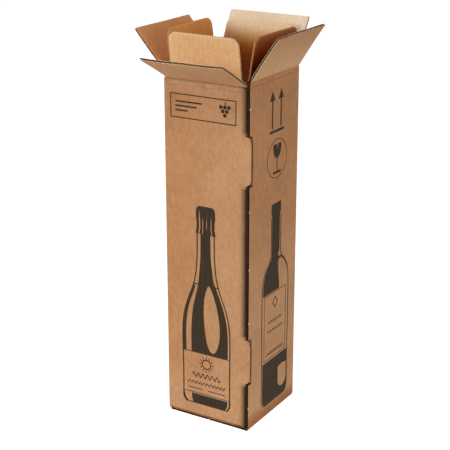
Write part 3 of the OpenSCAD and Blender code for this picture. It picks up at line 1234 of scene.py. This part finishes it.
@dataclass
class SparklingBottle:
    """The tall sparkling wine bottle on the front wall.

    Outline and wrap are pairs of height and half width. The base is dark from the foot up, and the glass
    from the label up to the hem of the wrapped head. A pleat is its place as a share of the half width, the
    heights of its ends, half its width and its sway; a wave of the label is its reach, level, height, pace
    and weight. The foot's line is half its length and its reach below and above the foot; the light is its
    low end, widest place and top; the sun is its height, radius and weight.
    """

    centre: float = -1.2
    foot: float = 20.0
    foot_line: tuple[float, float, float] = (30.5, 1.2, 0.2)
    base_top: float = 31.9
    base_corner: tuple[float, float, float] = (4.4, 2.2, 12.0)
    base_strip: tuple[float, float] = (4.4, 2.4)
    glass_low: float = 88.5
    hem: float = 241.5
    head: float = 276.0
    line: float = 1.65
    outline: tuple[tuple[float, float], ...] = (
        (19.0, 29.5), (23.0, 32.8), (30.0, 34.0), (88.0, 34.0), (116.0, 34.0), (131.0, 32.8),
        (144.0, 30.2), (155.0, 26.6), (166.0, 22.2), (177.0, 18.2), (190.0, 15.2), (205.0, 13.4),
        (220.0, 12.7), (243.0, 12.4), (256.0, 12.2), (264.0, 12.6), (276.0, 12.0))
    filled: float = 176.6
    filled_line: float = 2.0
    filled_fade: float = 1.5
    left_edge: Change = Change(3.9, -1.3, 118.0, 58.0)
    left_share: Change = Change(0.62, -0.05, 190.0, 30.0)
    right_strip: Change = Change(2.2, 1.6, 172.0, 12.0)
    right_neck: Change = Change(0.0, 0.6, 190.0, 30.0)
    light: tuple[float, float, float] = (91.5, 128.0, 178.0)
    light_half: float = 10.8
    light_power: float = 1.45
    light_middle: Change = Change(9.0, -5.0, 108.0, 75.0)
    light_beside: float = 0.3
    wrap: tuple[tuple[float, float], ...] = (
        (241.5, 13.9), (246.0, 12.8), (252.0, 12.3), (260.0, 12.9), (267.5, 13.2), (271.5, 12.7),
        (274.4, 11.3), (276.0, 8.6))
    ripple: tuple[float, float] = (0.2, 0.8)
    ripple_end: tuple[float, float] = (268.0, 6.0)
    pleats: tuple[tuple[float, float, float, float, float], ...] = (
        (-0.68, 235.0, 271.0, 0.95, 0.06), (-0.32, 238.0, 262.0, 0.55, 0.04),
        (0.12, 247.0, 262.0, 0.40, 0.0), (0.62, 237.0, 264.0, 0.60, -0.06))
    pleat_power: float = 0.7
    label_half: float = 34.0
    label_rules: tuple[tuple[float, float], ...] = ((87.5, 88.5), (33.0, 33.9))
    label_waves: tuple[tuple[float, float, float, float, float], ...] = (
        (20.0, 58.0, 2.6, 0.95, 1.4), (27.0, 47.5, 1.6, 1.25, 1.15))
    sun: tuple[float, float, float] = (74.5, 6.0, 1.45)
    rays: int = 12
    ray_span: tuple[float, float] = (7.6, 10.4)
    ray_weight: tuple[float, float] = (1.6, 0.8)
    low_rules: tuple[tuple[float, float], ...] = ((-26.0, -6.0), (2.0, 26.0))
    low_rule_at: tuple[float, float] = (39.0, 40.1)

    def build(self, finishes: Finishes) -> bpy.types.Object:
        """Draws the bottle: outline, dark glass with bare lights, wrapped head, and a ruled label.

        Args:
            finishes: the box's finishes.

        Returns:
            The print's object.
        """
        ink = InkPrint("front_bottle_print", Wall.FRONT)
        self.glass(ink)
        self.head_wrap(ink)
        self.label_marks(ink)
        return ink.build(finishes)

    def half_width(self, z: Array) -> Array:
        """Gives half the bottle's width at a height."""
        return spline(self.outline, z)

    def glass(self, ink: InkPrint) -> None:
        """Draws the outline and the dark glass: fields between edges that follow the bottle's width.

        Args:
            ink: the print to draw on.
        """
        c, low, high = self.centre, self.base_top, self.glass_low
        half, below, above = self.foot_line
        z = np.linspace(self.foot + above, low, 24)
        w = self.half_width(z)
        corner, loss, over = self.base_corner
        far, near = self.base_strip
        ink.field_between(z, c - w, c - w + corner - loss * (z - self.foot) / over)
        ink.field_between(z, c - w * self.left_share.start, c + w - far)
        ink.field_between(z, c + w - near, c + w)
        ink.bar(c - half, self.foot - below, c + half, self.foot + above)
        z = np.linspace(low, high, 40)
        w = self.half_width(z)
        ink.field_between(z, c - w, c - w + self.line)
        ink.field_between(z, c + w - self.line, c + w)
        z = np.linspace(high, self.hem, 200)
        w = self.half_width(z)
        full = ease((self.filled - z) / self.filled_fade)
        left = c - w * self.left_share.at(z)
        right = c + w - self.line - self.right_strip.at(z) - self.right_neck.at(z)
        bare, middle, beside = self.bare_light(z), c + self.light_middle.at(z), self.light_beside
        ink.field_between(z, c - w, c - w + self.line + self.left_edge.at(z) * full)
        ink.field_between(z, left, np.maximum(middle - bare, left + beside))
        ink.field_between(z, np.minimum(middle + bare, right - beside), right)
        ink.field_between(z, c + w - self.line, c + w)
        rows = (z > self.filled) & (z < self.filled + self.filled_line)
        ink.field_between(z[rows], (c - w + self.line)[rows], left[rows])
        ink.field_between(z[rows], right[rows], (c + w - self.line)[rows])

    def bare_light(self, z: Array) -> Array:
        """Gives half the bare light's width: half sqrt(1 - t^2), to a power over its widest place.

        Args:
            z: heights; t runs from 0 at the widest place to 1 at either end.

        Returns:
            Half widths, zero past the ends.
        """
        low, widest, high = self.light
        t = np.where(z < widest, (widest - z) / (widest - low), (z - widest) / (high - widest))
        power = np.where(z < widest, 1.0, self.light_power)
        return self.light_half * np.sqrt(np.clip(1 - t**2, 0.0, 1.0)) ** power

    def head_wrap(self, ink: InkPrint) -> None:
        """Draws the wrapped head: a round dark cap with a rippled edge and thin bare pleats.

        A pleat is a slit of half width a sin(pi t)^power, with t from 0 to 1 over its height, and the dark
        fields lie between the slits.

        Args:
            ink: the print to draw on.
        """
        c, low = self.centre, self.hem
        z = np.linspace(low, self.head, 90)
        height, pace = self.ripple
        top, fade = self.ripple_end
        w = spline(self.wrap, z) + height * np.sin(z * pace) * ease((top - z) / fade)
        edge = c - w
        for place, start, end, width, sway in self.pleats:
            t = np.clip((z - start) / (end - start), 0.0, 1.0)
            middle = c + w * (place + sway * (z - low) / (self.head - low))
            slit = width * np.sin(math.pi * t) ** self.pleat_power
            ink.field_between(z, edge, middle - slit)
            edge = middle + slit
        ink.field_between(z, edge, c + w)

    def label_marks(self, ink: InkPrint) -> None:
        """Draws the label: ruled edges, two waving lines, a sun with rays, and two short rules.

        Args:
            ink: the print to draw on.
        """
        c, w = self.centre, self.label_half - self.line
        for low, high in self.label_rules:
            ink.bar(c - w, low, c + w, high)
        for reach, level, height, pace, weight in self.label_waves:
            ink.wave(c, reach, level, height, pace, weight)
        level, radius, weight = self.sun
        ink.circle(c, level, radius, weight)
        for turn in np.linspace(0.0, 2 * math.pi, self.rays + 1)[:-1]:
            ray = np.array([math.cos(turn), math.sin(turn)])
            path = np.array([c, level]) + ray * np.linspace(*self.ray_span, 4)[:, None]
            ink.stroke(path, np.linspace(*self.ray_weight, 4))
        low, high = self.low_rule_at
        for left, right in self.low_rules:
            ink.bar(c + left, low, c + right, high)


@dataclass
class StillBottle:
    """The still wine bottle on the right wall.

    The outline is pairs of height and half width. The dark glass lies an inset within it on the left, below
    and above the label. The arch is the heights over which the upper bare field closes, and a label wave is
    its level, reach and pace. The foot's line is half its length and its reach below and above the foot; the
    diamond is its middle, half height and half width.
    """

    centre: float = 4.9
    foot: float = 17.0
    foot_line: tuple[float, float, float] = (26.0, 1.0, 0.2)
    neck: float = 204.6
    cap: float = 258.0
    head: float = 274.0
    line: float = 1.7
    inset: float = 3.0
    gap: float = 0.05
    outline: tuple[tuple[float, float], ...] = (
        (16.0, 25.0), (18.0, 28.6), (21.5, 31.2), (28.0, 32.8), (40.0, 33.0), (120.0, 33.0),
        (165.0, 32.9), (178.0, 31.9), (187.0, 29.4), (194.0, 25.4), (200.0, 20.0), (204.5, 15.2),
        (208.0, 13.0), (214.0, 12.3), (262.0, 12.0), (276.0, 11.6))
    arch: tuple[float, float] = (195.0, 202.4)
    arch_middle: float = 11.5
    dark_edge: Change = Change(9.6, -3.8, 162.0, 38.0)
    right_rim: Change = Change(0.0, 1.2, 178.0, 14.0)
    neck_left: float = 0.80
    neck_right: tuple[float, float, float] = (0.72, 0.3, 12.0)
    cap_over: float = 4.0
    cap_grows: tuple[float, float] = (0.2, 0.22)
    light: tuple[float, float] = (28.0, 59.0)
    light_round: float = 10.0
    light_fade: float = 2.0
    light_middle: float = 19.6
    light_half: float = 10.4
    light_rim: float = 2.8
    label: tuple[float, float] = (76.5, 162.0)
    label_half: float = 26.8
    label_rule: float = 1.0
    label_clear: tuple[float, float] = (2.0, 1.0)
    diamond: tuple[float, float, float] = (148.0, 8.0, 6.5)
    diamond_weight: float = 1.8
    diamond_tip: float = 0.1
    waves: tuple[tuple[float, float, float], ...] = (
        (125.0, 16.0, 1.2), (113.0, 19.0, 1.0), (84.0, 21.0, 1.6))
    wave_height: float = 1.4
    wave_weight: float = 1.2

    def build(self, finishes: Finishes) -> bpy.types.Object:
        """Draws the bottle: outline, dark capsule, dark glass with bare lights, and a ruled label.

        Args:
            finishes: the box's finishes.

        Returns:
            The print's object.
        """
        ink = InkPrint("right_bottle_print", Wall.RIGHT)
        self.edges(ink)
        self.neck_glass(ink)
        self.base_glass(ink)
        self.label_marks(ink)
        return ink.build(finishes)

    def edges(self, ink: InkPrint) -> None:
        """Draws the outline's left side, its right side beside the label and the neck, and the foot's line.

        Args:
            ink: the print to draw on.
        """
        c = self.centre
        half, below, above = self.foot_line
        z = np.linspace(self.foot + above, self.cap, 200)
        w = spline(self.outline, z)
        ink.field_between(z, c - w, c - w + self.line)
        under, over = self.label_clear
        for low, high in ((self.label[0] - under, self.label[1] + over), (self.neck, self.cap)):
            z = np.linspace(low, high, 70)
            w = spline(self.outline, z)
            ink.field_between(z, c + w - self.line, c + w)
        ink.bar(c - half, self.foot - below, c + half, self.foot + above)

    def neck_glass(self, ink: InkPrint) -> None:
        """Draws the dark glass over the label, with a bare field that closes in an arch under the neck.

        The field's half widths left and right of its middle are those under the arch times
        sqrt(1 - t^2), with t from 0 to 1 over the arch's height.

        Args:
            ink: the print to draw on.
        """
        c = self.centre
        z = np.linspace(self.label[1] + self.label_clear[1], self.neck, 90)
        w = spline(self.outline, z)
        dark, rim = c + self.dark_edge.at(z), c + w - self.line - self.right_rim.at(z)
        low, high = self.arch
        part = np.sqrt(1 - np.clip((z - low) / (high - low), 0.0, 1.0) ** 2)
        middle = c + self.arch_middle
        ink.field_between(z, c - w + self.inset, middle - (middle - dark) * part)
        ink.field_between(z, middle + np.maximum(rim - middle, 0.0) * part + self.gap, c + w)
        z = np.linspace(self.neck, self.head, 80)
        w = spline(self.outline, z)
        wide = ease((z - self.cap) / self.cap_over)
        share, less, over = self.neck_right
        right = share - less * ease((self.neck + over - z) / over)
        more_left, more_right = self.cap_grows
        ink.field_between(z, c - w * (self.neck_left + more_left * wide), c + w * (right + more_right * wide))

    def base_glass(self, ink: InkPrint) -> None:
        """Draws the dark glass under the label, with a bare light: flat on top and round below.

        Its half widths are those at mid height times sqrt(1 - t^2), with t from 0 to 1 over the round end.

        Args:
            ink: the print to draw on.
        """
        c = self.centre
        z = np.linspace(self.foot + self.foot_line[2], self.label[0] - self.label_clear[0], 90)
        w = spline(self.outline, z)
        low, high = self.light
        t = np.clip((low + self.light_round - z) / self.light_round, 0.0, 1.0)
        part = np.sqrt(1 - t**2) * ease((high - z) / self.light_fade)
        middle, rim = c + self.light_middle, c + w - self.light_rim
        ink.field_between(z, c - w + self.inset, middle - self.light_half * part)
        ink.field_between(z, middle + (rim - middle) * part + self.gap, c + w)

    def label_marks(self, ink: InkPrint) -> None:
        """Draws the label: a ruled frame, a diamond and waving lines.

        Args:
            ink: the print to draw on.
        """
        c, w, rule = self.centre, self.label_half, self.label_rule
        low, high = self.label
        ink.bar(c - w, low, c - w + rule, high)
        ink.bar(c + w - rule, low, c + w, high)
        ink.bar(c - w + rule, high - rule, c + w - rule, high)
        ink.bar(c - w + rule, low, c + w - rule, low + rule)
        middle, half, wide = self.diamond
        z = np.linspace(middle - half, middle + half, 40)
        reach = wide * (1 - np.abs(z - middle) / half)
        weight, tip = self.diamond_weight, self.diamond_tip
        ink.field_between(z, c - reach - tip, np.minimum(c - reach + weight, c))
        ink.field_between(z, np.maximum(c + reach - weight, c), c + reach + tip)
        for level, width, pace in self.waves:
            ink.wave(c, width, level, self.wave_height, pace, self.wave_weight)


@dataclass
class HandlingMarks:
    """Plain handling marks: two arrows up on a bar, a goblet in a ring, and a ruled frame on the front.

    The bar and the border are two corners, across and up. The ring is its middle and radius, the bowl its
    bottom, rim and reach, and the goblet's foot its underside, top and half width. Bars are pairs of a height
    and an end, measured from the border's left side.
    """

    arrows: tuple[float, float] = (-7.6, 12.6)
    arrow_top: float = 409.6
    arrow_head: tuple[float, float] = (11.5, 6.4)
    arrow_tip: float = 0.05
    shaft: tuple[float, float] = (365.2, 1.45)
    bar: tuple[float, float, float, float] = (-13.6, 360.0, 19.8, 363.2)
    ring: tuple[float, float, float] = (4.8, 328.0, 23.2)
    ring_weight: float = 1.05
    bowl: tuple[float, float, float] = (328.4, 345.8, 9.6)
    bowl_powers: tuple[float, float] = (2.6, 0.55)
    bowl_least: float = 0.1
    crack_low: float = 338.0
    crack_gap: float = 2.4
    crack_turn: tuple[float, float] = (1.5, 2.5)
    crack_grows: tuple[float, float] = (1.0, 4.0)
    stem_half: float = 0.9
    foot: tuple[float, float, float] = (310.2, 313.0, 9.4)
    border: tuple[float, float, float, float] = (-48.0, 377.6, 40.0, 406.2)
    border_weight: float = 1.25
    bars: tuple[tuple[float, float], ...] = ((396.2, 43.0), (391.0, 36.0), (385.8, 24.0))
    bars_start: float = 7.0
    bar_weight: float = 1.8
    bunch: tuple[float, float] = (15.0, 397.0)
    grape_step: tuple[float, float] = (5.2, 4.7)
    grape: tuple[float, float] = (1.2, 2.3)
    stalk_from: float = 2.6
    stalk: tuple[float, float] = (1.6, 3.6)
    stalk_weight: float = 1.1

    def build(self, finishes: Finishes) -> list[bpy.types.Object]:
        """Draws the marks.

        Args:
            finishes: the box's finishes.

        Returns:
            The prints' objects: the right wall's marks and the front wall's frame.
        """
        ink = InkPrint("handling_marks_print", Wall.RIGHT)
        for h in self.arrows:
            tall, wide = self.arrow_head
            z = np.linspace(self.arrow_top - tall, self.arrow_top, 24)
            reach = wide * (self.arrow_top - z) / tall + self.arrow_tip
            ink.field_between(z, h - reach, h + reach)
            start, half = self.shaft
            ink.bar(h - half, start, h + half, z[0])
        ink.bar(*self.bar)
        self.goblet(ink)
        frame_ink = InkPrint("front_frame_print", Wall.FRONT)
        left, low, right, high = self.border
        weight = self.border_weight
        frame_ink.bar(left, low, right, low + weight)
        frame_ink.bar(left, high - weight, right, high)
        frame_ink.bar(left, low + weight, left + weight, high - weight)
        frame_ink.bar(right - weight, low + weight, right, high - weight)
        for level, end in self.bars:
            frame_ink.bar(left + self.bars_start, level, left + end, level + self.bar_weight)
        from_right, top_row = self.bunch
        self.grapes(frame_ink, right - from_right, top_row)
        return [ink.build(finishes), frame_ink.build(finishes)]

    def grapes(self, ink: InkPrint, h: float, z: float) -> None:
        """Draws a bunch of grapes: rows of three, two and one round fields, and a stalk.

        Args:
            ink: the print to draw on.
            h: the bunch's middle across the wall.
            z: the height of the top row.
        """
        across, down = self.grape_step
        radius, weight = self.grape
        for row, count in enumerate((3, 2, 1)):
            for place in np.arange(count) - (count - 1) / 2:
                ink.circle(h + across * place, z - down * row, radius, weight)
        path = np.array([h, z + self.stalk_from]) + np.linspace(0.0, 1.0, 8)[:, None] * np.array(self.stalk)
        ink.stroke(path, self.stalk_weight)

    def goblet(self, ink: InkPrint) -> None:
        """Draws the goblet in a ring: a round bowl split by a crack from its rim, a stem and a foot.

        With t from 0 at the bowl's bottom to 1 at its rim, the bowl's half width is its reach times
        (1 - (1 - t)^a)^b. The crack's middle goes to and fro and its gap widens up to the rim.

        Args:
            ink: the print to draw on.
        """
        h, level, radius = self.ring
        ink.circle(h, level, radius, self.ring_weight)
        low, rim, wide = self.bowl
        a, b = self.bowl_powers
        z = np.linspace(low, rim, 40)
        reach = wide * np.clip(1 - (1 - (z - low) / (rim - low)) ** a, 0.0, 1.0) ** b + self.bowl_least
        over = z - self.crack_low
        gap = self.crack_gap * np.clip(over / (rim - self.crack_low), 0.0, 1.0)
        swing, tall = self.crack_turn
        lead, grows = self.crack_grows
        crack = h + swing * np.abs(over / tall % 2 - 1) * np.clip((over + lead) / grows, 0.0, 1.0)
        ink.field_between(z, h - reach, crack - gap * 0.5)
        ink.field_between(z, crack + gap * 0.5, h + reach)
        under, top, half = self.foot
        ink.bar(h - self.stem_half, top, h + self.stem_half, low)
        ink.bar(h - half, under, h + half, top)


@dataclass
class WineBox:
    """The whole box: the dressed walls, eight flaps with their creases, and the prints."""

    finishes: Finishes
    flap_width: tuple[float, float] = (106.2, 111.2)
    flap_length: float = 59.0
    inner_width: tuple[float, float] = (91.9, 95.1)
    inner_length: float = 51.0
    front_inner_length: float = 57.0
    inner_corner: float = 10.0
    inner_crushed: float = 0.9
    sleeve_in: float = 4.0
    sleeve_under: float = 3.0
    glue_flap: float = 3.2

    def flaps(self) -> list[Flap]:
        """Gives the eight flaps with their places, angles and slight bends.

        Returns:
            The carton's four square flaps, then the sleeve's four rounded ones.
        """
        out, inn = FoldSide.OUTER, FoldSide.INNER
        wide, side, long = *self.flap_width, self.flap_length
        inner_wide, inner_side, inner_long = *self.inner_width, self.inner_length
        pale, cream, warm, deep, dark = LinerShade
        reach, shift = HALF - self.sleeve_in, -self.glue_flap / 2
        low, high = FRONT_FOLD - self.sleeve_under, SIDE_FOLD - self.sleeve_under
        rounded = {"corner": self.inner_corner, "crushed": self.inner_crushed}
        # Each flap's liner tone and skin give its painted light and shade.
        return [
            Flap("front_flap", out, wide, long, 60.5, 0, (0, -HALF, FRONT_FOLD),
                 twist_deg=-0.6, bow_deg=1.0, tone=pale, seed=1),
            Flap("left_flap", out, side, long, 42.5, 270, (-HALF, 0, SIDE_FOLD),
                 twist_deg=0.5, bow_deg=-0.8, tone=warm, seed=2),
            Flap("back_flap", out, wide, long, 30.5, 180, (0, HALF, SIDE_FOLD),
                 bow_deg=0.6, tone=pale, seed=3),
            Flap("right_flap", out, side, long, 33, 90, (HALF, 0, SIDE_FOLD),
                 twist_deg=-0.5, bow_deg=0.8, tone=dark, seed=4, skin=FlapSkin.SHADED),
            Flap("front_inner_flap", inn, inner_wide, self.front_inner_length, 8.5, 0, (shift, -reach, low),
                 twist_deg=0.3, bow_deg=0.5, tone=deep, seed=5, skin=FlapSkin.SLEEVE, **rounded),
            Flap("left_inner_flap", inn, inner_side, inner_long, 7, 270, (-reach, 0, high),
                 twist_deg=-0.4, bow_deg=0.4, tone=deep, seed=6, skin=FlapSkin.GAP, **rounded),
            Flap("back_inner_flap", inn, inner_wide, inner_long, 18.5, 180, (shift, reach, high),
                 twist_deg=0.2, bow_deg=-0.3, tone=cream, seed=7, skin=FlapSkin.GAP, **rounded),
            Flap("right_inner_flap", inn, inner_side, inner_long, 9.5, 90, (reach - self.glue_flap, 0, high),
                 twist_deg=0.6, bow_deg=0.4, tone=deep, seed=8, skin=FlapSkin.GAP, **rounded),
        ]

    def dress_walls(self) -> None:
        """Gives the carton its kraft, and the sleeve its kraft darkened with painted shade."""
        for node, finish in (("outer_carton", self.finishes.carton), ("inner_sleeve", self.finishes.sleeve)):
            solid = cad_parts[node]
            if not solid.material_slots:
                solid.data.materials.append(finish)
            for slot in solid.material_slots:
                slot.material = finish
            log.info("%s: dressed", node)

    def build(self) -> None:
        """Builds every piece of the box."""
        self.dress_walls()
        for flap in self.flaps():
            flap.build(self.finishes)
            flap.crease(self.finishes)
        SparklingBottle().build(self.finishes)
        StillBottle().build(self.finishes)
        HandlingMarks().build(self.finishes)


@dataclass(frozen=True)
class SoftLamp:
    """A square soft lamp that faces the box: azimuth from the front towards the right, and elevation."""

    name: str
    azimuth_deg: float
    elevation_deg: float
    size: float
    watts: float
    colour: Colour = (1.0, 1.0, 1.0)
    distance: float = 2.3
    aim_height: float = 0.3

    def build(self) -> None:
        """Adds the lamp on a sphere about the box's middle."""
        data = bpy.data.lights.new(self.name, "AREA")
        data.shape, data.size, data.energy, data.color = "SQUARE", self.size, self.watts, self.colour
        lamp = bpy.data.objects.new(self.name, data)
        a, e = math.radians(self.azimuth_deg), math.radians(self.elevation_deg)
        flat, up = self.distance * math.cos(e), self.distance * math.sin(e)
        lamp.location = (flat * math.sin(a), -flat * math.cos(a), self.aim_height + up)
        lamp.rotation_euler = (math.pi / 2 - e, 0.0, a)
        bpy.context.scene.collection.objects.link(lamp)


@dataclass
class Studio:
    """White floor and background, soft lamps and the camera, with lengths in metres.

    The sky's turn and rise are the spans of direction over which it brightens to the back and dims upwards.
    The floor's light falls between the two distances of bright_round.
    """

    floor_size: float = 8.0
    focal_px: float = 1188.0
    image_px: float = 450.0
    sensor: float = 36.0
    camera_at: tuple[float, float, float] = (0.6960, -1.1625, 0.7059)
    yaw_deg: float = 31.27
    pitch_deg: float = 19.09
    sky_front: float = 0.10
    sky_back: float = 0.65
    sky_turn: tuple[float, float] = (-0.6, 0.8)
    sky_rise: tuple[float, float] = (0.1, 0.9)
    sky_colour: Colour = (1.0, 0.99, 0.975)
    zenith: float = 0.25
    floor_under: float = 0.0004
    floor_grey: Colour = (0.80, 0.80, 0.80)
    floor_shade: Colour = (0.40, 0.40, 0.40)
    floor_white: float = 0.96
    floor_light: tuple[float, float] = (0.18, 0.54)
    floor_cool: Colour = (0.90, 0.97, 1.0)
    bright_round: tuple[float, float] = (0.15, 0.55)
    lamps: tuple[SoftLamp, ...] = (
        SoftLamp("left_lamp", -36.0, 19.0, 1.0, 26.0),
        SoftLamp("right_lamp", 75.0, 11.0, 1.0, 12.2),
        SoftLamp("front_lamp", 10.0, 56.0, 0.9, 18.0),
        SoftLamp("top_lamp", 0.0, 87.0, 0.9, 4.0))

    def build(self) -> None:
        """Builds the floor, the world, the lamps and the camera."""
        bpy.context.scene.view_settings.view_transform = "Standard"
        self.floor()
        self.world()
        for lamp in self.lamps:
            lamp.build()
        self.camera()

    def seen(self, sheet: NodeSheet) -> bpy.types.NodeSocket:
        """Gives 1 for rays that see the background itself: camera, glossy and transmission rays.

        Args:
            sheet: the nodes of the floor or the world.

        Returns:
            The mask's socket.
        """
        path = sheet.node("LightPath")
        one = sheet.sums("MAXIMUM", path.outputs["Is Camera Ray"], path.outputs["Is Glossy Ray"])
        return sheet.sums("MAXIMUM", one, path.outputs["Is Transmission Ray"])

    def floor(self) -> None:
        """Makes the floor: white where it is seen, a little darker in the box's shadow."""
        half, low = self.floor_size / 2, -self.floor_under
        mesh = bpy.data.meshes.new("floor")
        corners = [(-half, -half, low), (half, -half, low), (half, half, low), (-half, half, low)]
        mesh.from_pydata(corners, [], [(0, 1, 2, 3)])
        material, sheet = new_material("white_floor")
        plain = sheet.node("BsdfDiffuse", {"Color": (*self.floor_grey, 1.0)})
        away = sheet.node("VectorMath", {0: sheet.node("TexCoord").outputs["Object"]}, operation="LENGTH")
        near, far = self.bright_round
        level = sheet.ramp(away.outputs["Value"], far, near, self.floor_light)
        lit = sheet.node("Emission", {"Color": (*self.floor_cool, 1.0), "Strength": level})
        bounce = sheet.node("AddShader", {0: plain.outputs[0], 1: lit.outputs[0]})
        shade = sheet.node("BsdfDiffuse", {"Color": (*self.floor_shade, 1.0)})
        glow = sheet.node("Emission", {"Color": (1.0, 1.0, 1.0, 1.0), "Strength": self.floor_white})
        both = sheet.node("AddShader", {0: shade.outputs[0], 1: glow.outputs[0]})
        mixed = sheet.node("MixShader", {0: self.seen(sheet), 1: bounce.outputs[0], 2: both.outputs[0]})
        sheet.node("OutputMaterial", {"Surface": mixed.outputs[0]})
        mesh.materials.append(material)
        floor = bpy.data.objects.new("floor", mesh)
        bpy.context.scene.collection.objects.link(floor)

    def world(self) -> None:
        """Makes the world: white where it is seen, and a soft sky, brighter behind the box and low down."""
        world = bpy.data.worlds.new("white_studio")
        world.use_nodes = True
        bpy.context.scene.world = world
        sheet = NodeSheet(world.node_tree)
        white = sheet.node("Background", {"Color": (1.0, 1.0, 1.0, 1.0), "Strength": 1.0})
        _, back, up = sheet.node("SeparateXYZ", {0: sheet.node("TexCoord").outputs["Generated"]}).outputs
        level = sheet.ramp(back, *self.sky_turn, (self.sky_front, self.sky_back))
        level = sheet.sums("MULTIPLY", level, sheet.ramp(up, *self.sky_rise, (1.0, self.zenith)))
        light = sheet.node("Background", {"Color": (*self.sky_colour, 1.0), "Strength": level})
        mixed = sheet.node("MixShader", {0: self.seen(sheet), 1: light.outputs[0], 2: white.outputs[0]})
        sheet.node("OutputWorld", {"Surface": mixed.outputs[0]})

    def camera(self) -> None:
        """Adds the camera at the photograph's viewing angle."""
        data = bpy.data.cameras.new("camera")
        data.sensor_width = self.sensor
        data.lens = self.focal_px * self.sensor / self.image_px
        camera = bpy.data.objects.new("camera", data)
        camera.location = self.camera_at
        camera.rotation_euler = (math.radians(90.0 - self.pitch_deg), 0.0, math.radians(self.yaw_deg))
        bpy.context.scene.collection.objects.link(camera)
        bpy.context.scene.camera = camera


def main() -> None:
    """Builds the box and its studio."""
    logging.basicConfig(level=logging.INFO, format="%(message)s")
    WineBox(Finishes()).build()
    Studio().build()


if __name__ == "__main__":
    main()
